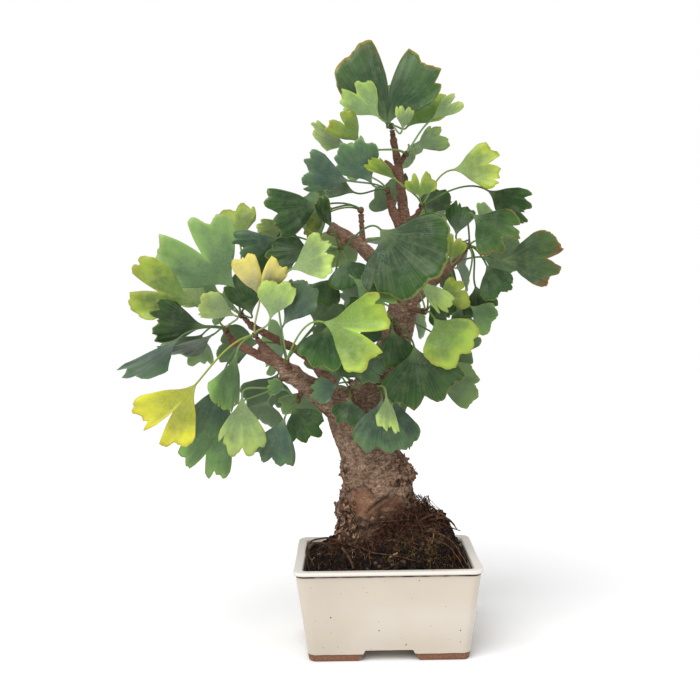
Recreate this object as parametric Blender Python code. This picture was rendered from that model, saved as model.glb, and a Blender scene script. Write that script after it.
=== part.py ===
# Ginkgo bonsai in a glazed pot: pot, drain screens, soil, wood and a bunch of leaves for each spur.
# Metres, +Z up, the origin on the table under the middle of the whole tree.
import math
import random

import bmesh
import bpy
import numpy as np
from mathutils import Vector
from mathutils.bvhtree import BVHTree

# driving dimensions of the pot
MM = 0.001
POT_RIM_W = 122 * MM
POT_RIM_D = 96 * MM
POT_BASE_W = 104 * MM
POT_BASE_D = 80 * MM
POT_HEIGHT = 60 * MM
POT_RIM_BAND = 6.4 * MM
POT_RIM_LIP = 1.3 * MM
POT_LIP_HEIGHT = 2.8 * MM
POT_WALL = 5.5 * MM
POT_CORNER = 7.5 * MM
POT_CORNER_POINTS = 5
POT_SOFT_EDGE = 1.2 * MM
POT_FLOOR_TOP = 12 * MM
FOOT_HEIGHT = 7.2 * MM
FOOT_RECESS = 4.5 * MM
FOOT_RING = 10 * MM
RECESS_CORNER = 6 * MM
NOTCH_FRONT = 41 * MM
NOTCH_SIDE = 30 * MM
NOTCH_TAPER = 4.5 * MM
DRAIN_RADIUS = 4.5 * MM
DRAIN_OFFSET = 25 * MM

# drain screens, soil and the gap between neighbouring solids
SCREEN_SIDE = 16 * MM
SCREEN_THICK = 0.9 * MM
SCREEN_HOLE = 2.2 * MM
SCREEN_PITCH = 6 * MM
GAP = 0.3 * MM
MERGE = 0.002 * MM
SOIL_EDGE_Z = 55 * MM
SOIL_LEFT_RISE = 13 * MM
SOIL_RIGHT_RISE = 28 * MM
SOIL_HALF_W = 52 * MM
SOIL_HALF_D = 41 * MM
SOIL_RINGS = (1.0, 0.94, 0.86, 0.76, 0.64, 0.5, 0.3)

# wood
TRUNK_SIDES = 11
TRUNK_LOBES = 0.045
THICK_LIMB = 9
SPUR_RADII = (2.6, 1.8, 2.1)

# leaves, the margin's shape in shares of the blade's length and half spread
NOTCH_HALF_WIDTH = 0.21
CUT_PLACE = 0.52
CUT_HALF_WIDTH = 0.17
MARGIN_WAVE = 0.022
BLADE_THICK = 0.62 * MM
PETIOLE_RADIUS = 0.85 * MM
BUD_RADIUS = 2.3 * MM
BIG_LEAF = 27 * MM
LONG_STALK = 22 * MM
BACK_SEED = 7

# the photograph's view, from which tree points are placed: a pixel and a depth give a point
VIEW_FOCAL = 1079.0
VIEW_CENTRE = 350.0
VIEW_PITCH = math.radians(4.1)
VIEW_ROLL = math.radians(0.87)
VIEW_X = -22.3 * MM
VIEW_Y = -718.0 * MM
VIEW_Z = 249.3 * MM

# the whole object is moved so that the middle of its box is at x = y = 0
CENTRE_SHIFT = Vector((28.0 * MM, -16.3 * MM, 0.0))

COLOURS = {
    "dark": (0.030, 0.085, 0.028),
    "blue": (0.050, 0.120, 0.085),
    "mid": (0.095, 0.230, 0.045),
    "light": (0.260, 0.430, 0.110),
    "lime": (0.360, 0.450, 0.040),
    "gold": (0.600, 0.480, 0.030),
    "olive": (0.200, 0.250, 0.040),
}

# wood: each limb is a list of (pixel x, pixel y, depth mm, radius mm)
LIMBS = {
    "trunk": [(382, 566, 2, 24), (382, 545, 2, 28), (381, 528, 2, 28.5), (380, 512, 2, 25),
              (379, 495, 1, 24), (378, 476, 1, 23), (373, 459, 1, 20), (364, 441, 1, 17.5),
              (355, 423, 1, 16.5), (348, 406, 1, 14.5), (347, 394, 1, 9)],
    "main_stem": [(352, 412, 2, 13), (367, 395, 4, 13), (379, 378, 6, 12), (391, 354, 8, 11.5),
                  (399, 328, 9, 10.5), (404, 304, 9, 9.5), (404, 284, 8, 7)],
    "left_bough": [(348, 410, 0, 12), (331, 398, -3, 11), (313, 388, -8, 7.5), (299, 379, -13, 6),
                   (290, 373, -15, 6.4), (281, 365, -16, 4.6), (270, 355, -18, 3.8),
                   (261, 345, -19, 3.4)],
    "cut_stub_left": [(276, 362, -16, 3.4), (264, 357, -15, 3.1), (247, 349, -13, 2.9),
                      (229, 339, -11, 3.1)],
    "upper_branch": [(338, 398, 8, 6), (322, 372, 9, 4.2), (304, 354, 10, 3.2),
                     (276, 339, 10, 2.7), (250, 325, 9, 2.5)],
    "thick_stub": [(404, 296, 7, 7.5), (395, 281, 5, 6), (380, 266, 0, 5), (361, 246, -4, 4.5),
                   (344, 235, -6, 4.2), (329, 227, -7, 4.3)],
    "leader": [(404, 300, 10, 8), (410, 272, 11, 5.8), (410, 246, 11, 5), (405, 222, 10, 4.2),
               (402, 195, 9, 3.3), (399, 170, 8, 2.9), (396, 152, 7, 2.5), (393, 139, 7, 2.3)],
    "left_stub": [(408, 240, 11, 4), (399, 224, 7, 3.4), (392, 208, 4, 3), (390, 200, 3, 3)],
    "right_stub": [(407, 238, 10, 3.4), (412, 226, 8, 2.8), (416, 216, 7, 2.7)],
    "small_stub": [(400, 178, 9, 2.4), (391, 167, 5, 1.9), (384, 161, 3, 1.9)],
    "right_branch": [(402, 306, 9, 6), (420, 293, 9, 4.8), (438, 277, 8, 3.6), (451, 265, 7, 3),
                     (461, 256, 6, 2.8)],
}

# rough swellings of the bark: (pixel x, pixel y, depth mm, radius mm)
BURLS = [(404, 474, -9, 10), (398, 462, -6, 8), (348, 509, -6, 8.5), (407, 511, -7, 10),
         (294, 374, -15, 6.4), (366, 518, -16, 9)]

# spurs: name -> (limb point it grows from, its tip), both (pixel x, pixel y, depth mm)
SPURS = {
    "bough_tip": ((263, 347, -19), (257, 338, -22)),
    "bough_node": ((290, 372, -17), (287, 363, -26)),
    "bough_under": ((286, 370, -14), (279, 382, -15)),
    "fork_left": ((303, 384, -9), (299, 397, -13)),
    "cut_stub_end": ((232, 341, -12), (227, 332, -16)),
    "upper_branch_tip": ((252, 326, 9), (244, 318, 7)),
    "thick_stub_top": ((345, 236, -6), (341, 246, -16)),
    "stub_twig": ((363, 246, -4), (361, 214, -5)),
    "left_stub_top": ((391, 203, 4), (388, 193, 0)),
    "right_stub_top": ((415, 218, 7), (420, 209, 4)),
    "leader_top": ((394, 142, 7), (392, 130, 6)),
    "leader_side": ((398, 166, 8), (404, 157, 3)),
    "right_tip": ((459, 258, 6), (466, 249, 4)),
    "right_low": ((405, 308, 4), (422, 311, -8)),
    "stem_front": ((398, 330, 0), (394, 322, -13)),
    "stem_low": ((381, 376, -2), (378, 384, -18)),
    "fork_front": ((352, 402, -8), (350, 391, -22)),
    "back_fork": ((362, 400, 12), (352, 384, 30)),
    "back_stem": ((398, 336, 17), (404, 322, 34)),
    "back_leader": ((409, 256, 14), (400, 244, 32)),
    "back_branch": ((436, 279, 9), (446, 268, 26)),
    "back_bough": ((312, 362, 11), (300, 350, 26)),
    "back_low": ((388, 362, 15), (404, 366, 32)),
}

# leaves seen from the front: (spur, blade base x, y, depth, blade tip x, y, depth,
# half spread degrees, turn about the midrib degrees, notch share, colour)
LEAVES = [
    ("leader_top", 387, 126, -4, 391, 45, -10, 51, 0, 0.55, "dark"),
    ("leader_top", 380, 118, -12, 349, 86, -22, 36, 10, 0.30, "light"),
    ("leader_top", 406, 128, 10, 440, 90, 12, 34, 10, 0.20, "lime"),
    ("leader_top", 402, 130, -16, 408, 106, -18, 38, -30, 0.20, "light"),
    ("leader_side", 431, 120, 4, 458, 98, 4, 24, 0, 0.30, "light"),
    ("leader_side", 360, 143, -14, 336, 115, -20, 36, 0, 0.25, "lime"),
    ("leader_side", 414, 149, -2, 445, 132, 0, 32, 15, 0.20, "mid"),
    ("leader_side", 349, 148, -4, 311, 130, -2, 42, 62, 0.10, "light"),
    ("left_stub_top", 350, 181, -16, 302, 173, -24, 34, 25, 0.10, "blue"),
    ("left_stub_top", 372, 184, -10, 349, 146, -16, 40, 10, 0.15, "blue"),
    ("left_stub_top", 356, 193, 0, 318, 180, 6, 30, -15, 0.10, "dark"),
    ("right_stub_top", 397, 181, -14, 370, 158, -18, 24, 40, 0.10, "lime"),
    ("right_stub_top", 420, 198, -8, 421, 173, -10, 62, -20, 0.45, "lime"),
    ("right_stub_top", 428, 214, 12, 440, 190, 20, 48, 10, 0.15, "dark"),
    ("right_stub_top", 452, 170, 2, 502, 163, 0, 40, 25, 0.30, "lime"),
    ("right_stub_top", 487, 190, 8, 528, 214, 8, 36, -10, 0.15, "dark"),
    ("stub_twig", 321, 205, -18, 269, 215, -30, 37, -10, 0.12, "dark"),
    ("stub_twig", 326, 214, -6, 302, 228, -8, 40, 20, 0.20, "olive"),
    ("thick_stub_top", 280, 237, -18, 237, 252, -22, 28, 20, 0.12, "blue"),
    ("thick_stub_top", 333, 230, -20, 315, 199, -22, 46, 68, 0.10, "dark"),
    ("thick_stub_top", 380, 229, -44, 431, 283, -58, 63, 0, 0.14, "dark"),
    ("thick_stub_top", 346, 258, -26, 356, 290, -32, 56, 10, 0.15, "dark"),
    ("thick_stub_top", 312, 250, -6, 268, 248, -2, 40, -10, 0.10, "dark"),
    ("thick_stub_top", 334, 276, -18, 322, 306, -20, 46, 20, 0.10, "dark"),
    ("thick_stub_top", 287, 224, -6, 258, 232, -4, 36, 30, 0.10, "light"),
    ("upper_branch_tip", 235, 288, -2, 176, 229, -20, 43, 0, 0.46, "mid"),
    ("upper_branch_tip", 240, 243, 14, 231, 203, 20, 46, 20, 0.15, "lime"),
    ("upper_branch_tip", 212, 300, 10, 176, 287, 14, 40, 20, 0.15, "light"),
    ("upper_branch_tip", 252, 316, -2, 239, 276, -8, 40, 15, 0.10, "dark"),
    ("upper_branch_tip", 262, 286, 14, 276, 244, 18, 44, 0, 0.10, "dark"),
    ("cut_stub_end", 195, 303, -27, 129, 284, -33, 38, 8, 0.45, "lime"),
    ("cut_stub_end", 207, 326, -25, 150, 325, -37, 34, 32, 0.10, "dark"),
    ("cut_stub_end", 179, 338, -28, 129, 385, -27, 38, 62, 0.10, "blue"),
    ("cut_stub_end", 214, 334, -8, 168, 361, 4, 38, 66, 0.10, "dark"),
    ("cut_stub_end", 236, 316, -28, 200, 302, -38, 32, 20, 0.10, "light"),
    ("bough_tip", 197, 383, -36, 150, 439, -46, 38, 0, 0.50, "gold"),
    ("bough_tip", 221, 381, -22, 204, 440, -24, 34, 25, 0.10, "blue"),
    ("bough_tip", 237, 352, -32, 224, 413, -40, 38, 60, 0.10, "mid"),
    ("bough_tip", 260, 298, -36, 263, 256, -50, 48, 0, 0.52, "gold"),
    ("bough_tip", 270, 320, -38, 279, 280, -46, 36, 0, 0.12, "light"),
    ("bough_node", 283, 326, -38, 308, 284, -44, 34, 25, 0.10, "blue"),
    ("bough_node", 290, 270, -44, 332, 250, -56, 32, 15, 0.20, "light"),
    ("bough_node", 323, 322, -52, 389, 341, -68, 45, 0, 0.46, "lime"),
    ("bough_node", 327, 326, -34, 324, 367, -42, 56, 0, 0.12, "dark"),
    ("bough_under", 243, 394, -26, 243, 454, -36, 32, 0, 0.24, "light"),
    ("bough_under", 226, 415, -8, 198, 476, -10, 34, 10, 0.30, "mid"),
    ("fork_left", 285, 417, -24, 271, 465, -32, 36, 15, 0.15, "blue"),
    ("fork_left", 292, 406, -10, 312, 438, -14, 48, 0, 0.12, "dark"),
    ("fork_left", 286, 390, -22, 268, 385, -26, 44, 30, 0.10, "mid"),
    ("fork_front", 350, 398, -30, 346, 424, -38, 52, 0, 0.25, "dark"),
    ("fork_front", 338, 386, -26, 314, 393, -32, 46, 20, 0.10, "blue"),
    ("fork_front", 362, 380, -34, 346, 354, -40, 50, 10, 0.12, "dark"),
    ("stem_low", 382, 398, -34, 376, 454, -42, 40, 0, 0.14, "blue"),
    ("stem_low", 386, 394, -46, 390, 432, -54, 30, 40, 0.15, "light"),
    ("stem_low", 394, 398, -24, 406, 448, -26, 28, 20, 0.10, "blue"),
    ("stem_front", 353, 278, -42, 390, 306, -50, 34, 0, 0.20, "mid"),
    ("stem_front", 354, 350, -28, 384, 374, -36, 50, 10, 0.10, "blue"),
    ("stem_front", 392, 328, -26, 398, 366, -30, 44, 20, 0.10, "dark"),
    ("stem_front", 372, 310, -22, 346, 312, -24, 48, 0, 0.12, "dark"),
    ("stem_front", 414, 346, -32, 428, 410, -42, 54, 0, 0.20, "dark"),
    ("stem_front", 384, 340, -20, 362, 328, -22, 46, 15, 0.10, "dark"),
    ("fork_front", 340, 374, -22, 326, 352, -26, 46, 10, 0.12, "mid"),
    ("right_low", 430, 296, 6, 452, 318, 8, 46, 10, 0.12, "dark"),
    ("right_low", 434, 318, -34, 462, 358, -44, 54, 0, 0.18, "lime"),
    ("right_low", 417, 280, -18, 452, 308, -22, 30, 45, 0.10, "light"),
    ("right_low", 438, 298, -6, 468, 287, -2, 44, 15, 0.15, "olive"),
    ("right_tip", 472, 214, -10, 512, 244, -16, 44, 0, 0.34, "dark"),
    ("right_tip", 500, 260, -10, 562, 258, -14, 38, 0, 0.34, "dark"),
    ("right_tip", 486, 264, -4, 503, 296, -8, 42, 10, 0.15, "dark"),
    ("right_tip", 475, 285, 12, 484, 316, 17, 44, 5, 0.12, "dark"),
    ("right_tip", 451, 262, -10, 455, 236, -12, 42, 20, 0.12, "olive"),
    ("right_tip", 456, 236, 16, 462, 204, 22, 36, 10, 0.10, "dark"),
    ("right_tip", 470, 306, 2, 497, 324, 2, 40, 10, 0.12, "mid"),
]

# leaves out of the front view: (spur, bearing degrees, rise degrees, reach mm, length mm, colour),
# the bearing is 90 straight back and 0 to the right
BACK_LEAVES = [
    ("back_fork", 100, 5, 34, 36, "dark"), ("back_fork", 150, -15, 30, 30, "mid"),
    ("back_fork", 60, -30, 32, 34, "blue"), ("back_fork", 120, 40, 30, 32, "dark"),
    ("back_stem", 80, 10, 36, 38, "mid"), ("back_stem", 30, -20, 30, 32, "dark"),
    ("back_stem", 130, 25, 34, 34, "blue"), ("back_stem", 95, -40, 34, 32, "dark"),
    ("back_leader", 95, 15, 30, 36, "dark"), ("back_leader", 150, 5, 32, 32, "light"),
    ("back_leader", 45, 30, 28, 30, "mid"), ("back_leader", 100, 60, 30, 30, "dark"),
    ("back_branch", 70, 0, 30, 34, "blue"), ("back_branch", 20, 15, 28, 30, "dark"),
    ("back_branch", 110, 35, 28, 32, "mid"), ("back_branch", 60, -40, 30, 30, "dark"),
    ("back_bough", 110, 0, 34, 36, "mid"), ("back_bough", 165, 10, 30, 30, "dark"),
    ("back_bough", 70, 30, 32, 34, "dark"), ("back_bough", 130, -35, 32, 34, "blue"),
    ("back_low", 70, -10, 30, 34, "dark"), ("back_low", 10, -20, 26, 30, "mid"),
    ("back_low", 110, -35, 30, 32, "dark"),
    ("leader_side", 80, 20, 30, 32, "mid"), ("leader_top", 110, 40, 24, 32, "dark"),
    ("right_tip", 60, 15, 30, 34, "mid"), ("right_tip", 100, -10, 26, 30, "dark"),
    ("upper_branch_tip", 110, 10, 30, 34, "dark"), ("upper_branch_tip", 150, 40, 26, 30, "mid"),
    ("cut_stub_end", 130, -5, 30, 34, "mid"), ("bough_under", 110, -30, 30, 34, "dark"),
    ("left_stub_top", 120, 30, 30, 32, "mid"), ("stub_twig", 130, 10, 30, 32, "dark"),
]


def clear_scene():
    for item in list(bpy.data.objects):
        bpy.data.objects.remove(item, do_unlink=True)


def seen_point(pixel_x, pixel_y, depth_mm):
    """The point at this depth (world y in mm) that the view shows at this pixel."""
    across = pixel_x - VIEW_CENTRE
    above = VIEW_CENTRE - pixel_y
    image_x = across * math.cos(VIEW_ROLL) + above * math.sin(VIEW_ROLL)
    image_y = -across * math.sin(VIEW_ROLL) + above * math.cos(VIEW_ROLL)
    ray_x = image_x / VIEW_FOCAL
    ray_y = math.cos(VIEW_PITCH) + image_y / VIEW_FOCAL * math.sin(VIEW_PITCH)
    ray_z = -math.sin(VIEW_PITCH) + image_y / VIEW_FOCAL * math.cos(VIEW_PITCH)
    reach = (depth_mm * MM - VIEW_Y) / ray_y
    return Vector((VIEW_X + reach * ray_x, depth_mm * MM, VIEW_Z + reach * ray_z))


def make_material(name, colour, roughness):
    material = bpy.data.materials.new(name)
    material.use_nodes = True
    shader = material.node_tree.nodes["Principled BSDF"]
    shader.inputs["Base Color"].default_value = (*colour, 1.0)
    shader.inputs["Roughness"].default_value = roughness
    shader.inputs["Metallic"].default_value = 0.0
    return material


def make_object(name, points, faces, material=None, collection=None):
    mesh = bpy.data.meshes.new(name)
    mesh.from_pydata([tuple(point) for point in points], [], [tuple(face) for face in faces])
    mesh.validate()
    item = bpy.data.objects.new(name, mesh)
    (collection or bpy.context.scene.collection).objects.link(item)
    if material:
        mesh.materials.append(material)
    return item


def triangulate(faces):
    """Each face as triangles that share its first corner."""
    result = []
    for face in faces:
        for index in range(1, len(face) - 1):
            result.append((face[0], face[index], face[index + 1]))
    return result


def joined_rings(ring_count, ring_size, start_cap=True, end_cap=True):
    """Quads between rings that follow each other, and the two end faces."""
    faces = []
    for ring in range(ring_count - 1):
        for side in range(ring_size):
            after = (side + 1) % ring_size
            low = ring * ring_size
            high = low + ring_size
            faces.append((low + side, low + after, high + after, high + side))
    if start_cap:
        faces.append(tuple(reversed(range(ring_size))))
    if end_cap:
        faces.append(tuple(range((ring_count - 1) * ring_size, ring_count * ring_size)))
    return faces


def smooth_path(knots, steps):
    """Catmull-Rom curve through knots (position and radius), with steps points a span."""
    knots = np.array(knots, float)
    padded = np.vstack([2 * knots[0] - knots[1], knots, 2 * knots[-1] - knots[-2]])
    rows = []
    for span in range(len(knots) - 1):
        before, start, end, after = padded[span:span + 4]
        for step in range(steps):
            t = step / steps
            rows.append(0.5 * (2 * start + (end - before) * t
                               + (2 * before - 5 * start + 4 * end - after) * t * t
                               + (3 * start - before - 3 * end + after) * t ** 3))
    rows.append(knots[-1])
    return np.array(rows)


def tube(path, sides, grow=0.0, lobes=0.0):
    """Rings of the given radii across a path of (x, y, z, radius); lobes waves the outline."""
    centres = path[:, :3]
    tangents = np.gradient(centres, axis=0)
    tangents /= np.linalg.norm(tangents, axis=1)[:, None]
    side_axis = np.cross(tangents[0], (0.0, 1.0, 0.0))
    if np.linalg.norm(side_axis) < 0.2:
        side_axis = np.cross(tangents[0], (1.0, 0.0, 0.0))
    points = []
    for index, (centre, tangent) in enumerate(zip(centres, tangents)):
        side_axis = side_axis - tangent * np.dot(side_axis, tangent)
        side_axis /= np.linalg.norm(side_axis)
        other_axis = np.cross(tangent, side_axis)
        for side in range(sides):
            angle = 2 * math.pi * side / sides
            wave = 1 + lobes * math.sin(3 * angle + 0.35 * index) + 0.6 * lobes * math.cos(5 * angle)
            radius = path[index, 3] * wave + grow
            points.append(centre + radius * (math.cos(angle) * side_axis
                                             + math.sin(angle) * other_axis))
    return points, joined_rings(len(path), sides)


def limb_path(knots, steps):
    rows = [(*seen_point(x, y, depth), radius * MM) for x, y, depth, radius in knots]
    return smooth_path(rows, steps)


def fuse(name, material, pieces):
    """One Boolean union of the first piece with the rest, then only its main body is kept."""
    first = pieces[0]
    start_mesh = first.data.copy()
    helper = bpy.data.collections.new(name + "_pieces")
    bpy.context.scene.collection.children.link(helper)
    for piece in pieces[1:]:
        for owner in list(piece.users_collection):
            owner.objects.unlink(piece)
        helper.objects.link(piece)
    for solver in ("EXACT", "MANIFOLD"):
        first.data = start_mesh.copy()
        union = first.modifiers.new("union", "BOOLEAN")
        union.operation = "UNION"
        union.solver = solver
        union.operand_type = "COLLECTION"
        union.collection = helper
        apply_modifiers(first)
        keep_main_body(first)
        if is_closed(first.data):
            break
    for piece in list(helper.objects):
        bpy.data.objects.remove(piece, do_unlink=True)
    bpy.data.collections.remove(helper)
    first.name = name
    first.data.name = name
    first.data.materials.clear()
    first.data.materials.append(material)
    return first


def is_closed(mesh):
    work = bmesh.new()
    work.from_mesh(mesh)
    closed = all(edge.is_manifold for edge in work.edges)
    work.free()
    return closed


def apply_modifiers(item):
    graph = bpy.context.evaluated_depsgraph_get()
    mesh = bpy.data.meshes.new_from_object(item.evaluated_get(graph))
    item.modifiers.clear()
    old = item.data
    item.data = mesh
    bpy.data.meshes.remove(old)


def keep_main_body(item):
    """Drops loose scraps and sealed hollows, and leaves triangles."""
    work = bmesh.new()
    work.from_mesh(item.data)
    bmesh.ops.remove_doubles(work, verts=work.verts, dist=MERGE)
    bmesh.ops.dissolve_degenerate(work, edges=work.edges, dist=MERGE)
    bmesh.ops.triangulate(work, faces=work.faces)
    unseen = set(work.verts)
    groups = []
    while unseen:
        stack = [unseen.pop()]
        group = set(stack)
        while stack:
            for edge in stack.pop().link_edges:
                for vert in edge.verts:
                    if vert in unseen:
                        unseen.discard(vert)
                        group.add(vert)
                        stack.append(vert)
        groups.append(group)
    groups.sort(key=len)
    for group in groups[:-1]:
        bmesh.ops.delete(work, geom=list(group), context="VERTS")
    work.to_mesh(item.data)
    work.free()


def cut(item, cutters):
    """Takes the cutters out of the item, one after another."""
    for cutter in cutters:
        cutter.hide_render = True
        cutter.display_type = "WIRE"
        difference = item.modifiers.new("cut", "BOOLEAN")
        difference.operation = "DIFFERENCE"
        difference.solver = "EXACT"
        difference.object = cutter
        apply_modifiers(item)
        bpy.data.objects.remove(cutter, do_unlink=True)
    keep_main_body(item)


def rounded_rectangle(width, depth, corner, per_corner=POT_CORNER_POINTS):
    """Corner arcs of a rectangle, counter-clockwise from the right front."""
    points = []
    centres = ((1, -1, -90), (1, 1, 0), (-1, 1, 90), (-1, -1, 180))
    for sign_x, sign_y, start in centres:
        for step in range(per_corner):
            angle = math.radians(start + 90 * step / (per_corner - 1))
            points.append((sign_x * (width / 2 - corner) + corner * math.cos(angle),
                           sign_y * (depth / 2 - corner) + corner * math.sin(angle)))
    return points


def loft(sections):
    """A closed solid through sections of (width, depth, corner, z)."""
    points = []
    for width, depth, corner, z in sections:
        points += [(x, y, z) for x, y in rounded_rectangle(width, depth, corner)]
    size = len(points) // len(sections)
    return points, joined_rings(len(sections), size)


def wall_size(z, inset):
    """Outer width and depth of the tapered wall at height z, less an inset a side."""
    share = z / POT_HEIGHT
    lean_w = POT_BASE_W + (POT_RIM_W - 2 * POT_RIM_LIP - POT_BASE_W) * share
    lean_d = POT_BASE_D + (POT_RIM_D - 2 * POT_RIM_LIP - POT_BASE_D) * share
    return lean_w - 2 * inset, lean_d - 2 * inset


def pot_section(z, inset, corner):
    width, depth = wall_size(z, inset)
    return width, depth, corner, z


def prism(points_xz, depth, along_x=False):
    """An outline in the XZ plane drawn out along Y, or turned to run along X."""
    points = []
    for side in (-1, 1):
        for x, z in points_xz:
            place = (x, side * depth / 2, z)
            if along_x:
                place = (-side * depth / 2, x, z)
            points.append(place)
    faces = joined_rings(2, len(points_xz))
    item = make_object("cutter", points, faces)
    recalculate(item)
    return item


def recalculate(item):
    work = bmesh.new()
    work.from_mesh(item.data)
    bmesh.ops.recalc_face_normals(work, faces=work.faces)
    work.to_mesh(item.data)
    work.free()


def drum(radius, bottom, top, x, y, sides):
    points = []
    for z in (bottom, top):
        for side in range(sides):
            angle = 2 * math.pi * side / sides
            points.append((x + radius * math.cos(angle), y + radius * math.sin(angle), z))
    return make_object("drum", points, joined_rings(2, sides))


def make_pot(material):
    lip_bottom = POT_HEIGHT - POT_LIP_HEIGHT
    inner_top = POT_RIM_BAND - POT_RIM_LIP
    soft = POT_SOFT_EDGE
    sections = [
        pot_section(0.0, soft / 2, POT_CORNER - 2 * soft),
        pot_section(soft, 0.0, POT_CORNER - soft),
        pot_section(lip_bottom - soft / 2, 0.0, POT_CORNER - soft),
        (POT_RIM_W - soft, POT_RIM_D - soft, POT_CORNER, lip_bottom),
        (POT_RIM_W, POT_RIM_D, POT_CORNER, lip_bottom + soft / 2),
        (POT_RIM_W, POT_RIM_D, POT_CORNER, POT_HEIGHT - soft),
        (POT_RIM_W - 2 * soft, POT_RIM_D - 2 * soft, POT_CORNER - soft, POT_HEIGHT),
        pot_section(POT_HEIGHT, inner_top - soft, POT_CORNER - 2 * soft),
        pot_section(POT_HEIGHT - soft, inner_top, POT_CORNER - 3 * soft),
        pot_section(POT_FLOOR_TOP + 3 * MM, POT_WALL, POT_CORNER - 3 * soft),
        pot_section(POT_FLOOR_TOP, POT_WALL + 2.5 * MM, POT_CORNER - 4 * soft),
    ]
    points, faces = loft(sections)
    pot = make_object("pot", points, faces, material)
    recess_w, recess_d = wall_size(0.0, FOOT_RING)
    recess = make_object("recess", *loft([(recess_w, recess_d, RECESS_CORNER, -1 * MM),
                                          (recess_w, recess_d, RECESS_CORNER, FOOT_RECESS)]))
    cutters = [recess]
    for width, length, along_x in ((NOTCH_FRONT, POT_BASE_D, False), (NOTCH_SIDE, POT_BASE_W, True)):
        half = width / 2
        outline = [(-half, -1 * MM), (half, -1 * MM), (half - NOTCH_TAPER, FOOT_HEIGHT - 1 * MM),
                   (half - NOTCH_TAPER - 1.5 * MM, FOOT_HEIGHT),
                   (-half + NOTCH_TAPER + 1.5 * MM, FOOT_HEIGHT),
                   (-half + NOTCH_TAPER, FOOT_HEIGHT - 1 * MM)]
        cutters.append(prism(outline, length + 20 * MM, along_x))
    for side in (-1, 1):
        cutters.append(drum(DRAIN_RADIUS, -1 * MM, POT_FLOOR_TOP + 2 * MM,
                            side * DRAIN_OFFSET, 0.0, 16))
    cut(pot, cutters)
    return pot


def make_screen(name, side, material):
    """A square plastic mesh over one drain hole."""
    bottom = POT_FLOOR_TOP + GAP
    top = bottom + SCREEN_THICK
    x = side * DRAIN_OFFSET
    half = SCREEN_SIDE / 2
    corners = [(x - half, -half), (x + half, -half), (x + half, half), (x - half, half)]
    points = [(px, py, z) for z in (bottom, top) for px, py in corners]
    screen = make_object(name, points, joined_rings(2, 4), material)
    holes = []
    for column in (-0.5, 0.5):
        for row in (-0.5, 0.5):
            holes.append(drum(SCREEN_HOLE, bottom - 1 * MM, top + 1 * MM,
                              x + column * SCREEN_PITCH, row * SCREEN_PITCH, 6))
    cut(screen, holes)
    return screen


def soil_height(x, y):
    """A steep-sided root ball, higher on the right where moss and roots lie."""
    side = min(1.0, max(0.0, (x + 30 * MM) / (42 * MM)))
    rise = SOIL_LEFT_RISE + (SOIL_RIGHT_RISE - SOIL_LEFT_RISE) * side * side * (3 - 2 * side)
    reach = (abs(x / SOIL_HALF_W) ** 2.6 + abs(y / SOIL_HALF_D) ** 2.6) ** (1 / 2.6)
    ripple = 0.9 * MM * math.sin(x / (5.3 * MM)) * math.cos(y / (4.7 * MM))
    return SOIL_EDGE_Z + rise * max(0.0, 1 - reach ** 5) + ripple


def make_soil(material, trunk_path):
    bottom_z = POT_FLOOR_TOP + 2 * GAP + SCREEN_THICK
    inner_top = POT_RIM_BAND - POT_RIM_LIP
    clear = GAP + 0.15 * MM
    rows = []
    low = wall_size(bottom_z, POT_WALL + 2.6 * MM + clear)
    mid = wall_size(POT_FLOOR_TOP + 4 * MM, POT_WALL + clear)
    high = wall_size(SOIL_EDGE_Z, inner_top + clear)
    for (width, depth), corner, z in ((low, 5 * MM, bottom_z), (mid, 6 * MM, POT_FLOOR_TOP + 4 * MM)):
        rows.append([(x, y, z) for x, y in rounded_rectangle(width, depth, corner, 6)])
    for share in SOIL_RINGS:
        ring = []
        for x, y in rounded_rectangle(high[0] * share, high[1] * share, 6 * MM * share, 6):
            ring.append((x, y, soil_height(x, y) if share < 1 else SOIL_EDGE_Z))
        rows.append(ring)
    size = len(rows[0])
    points = [point for ring in rows for point in ring]
    faces = triangulate(joined_rings(len(rows), size))
    soil = make_object("soil", points, faces, material)
    clear = GAP * 1.4
    holes = [make_object("hole", *tube(trunk_path, TRUNK_SIDES, grow=clear, lobes=TRUNK_LOBES))]
    for x, y, depth, radius in BURLS:
        holes.append(knob(seen_point(x, y, depth), radius * MM + clear))
    cut(soil, holes)
    return soil


def make_wood(material, trunk_path):
    pieces = []
    for name, knots in LIMBS.items():
        if name == "trunk":
            pieces.append(make_object(name, *tube(trunk_path, TRUNK_SIDES, lobes=TRUNK_LOBES)))
            continue
        big = knots[0][3] > THICK_LIMB
        path = limb_path(knots, 1)
        pieces.append(make_object(name, *tube(path, 9 if big else 6, lobes=0.04)))
    for name, (root, tip) in SPURS.items():
        start = seen_point(*root)
        end = seen_point(*tip)
        places = (start, start.lerp(end, 0.55), end)
        path = np.array([(*place, radius * MM) for place, radius in zip(places, SPUR_RADII)])
        pieces.append(make_object(name, *tube(path, 5)))
    for x, y, depth, radius in BURLS:
        pieces.append(knob(seen_point(x, y, depth), radius * MM))
    return fuse("wood", material, pieces)


def knob(centre, radius):
    work = bmesh.new()
    bmesh.ops.create_icosphere(work, subdivisions=1, radius=radius)
    bmesh.ops.translate(work, verts=work.verts, vec=centre)
    mesh = bpy.data.meshes.new("knob")
    work.to_mesh(mesh)
    work.free()
    item = bpy.data.objects.new("knob", mesh)
    bpy.context.scene.collection.objects.link(item)
    return item


def margin(x, notch, cuts, phase):
    """Share of the blade's length at x, -1 and 1 being its two straight sides."""
    share = 1 - 0.08 * x * x - 0.20 * abs(x) ** 8
    share -= notch * max(0.0, 1 - abs(x) / NOTCH_HALF_WIDTH)
    share -= (cuts[0] if x < 0 else cuts[1]) * max(0.0, 1 - abs(abs(x) - CUT_PLACE) / CUT_HALF_WIDTH)
    return share + MARGIN_WAVE * math.sin(12.5 * x + phase)


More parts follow.
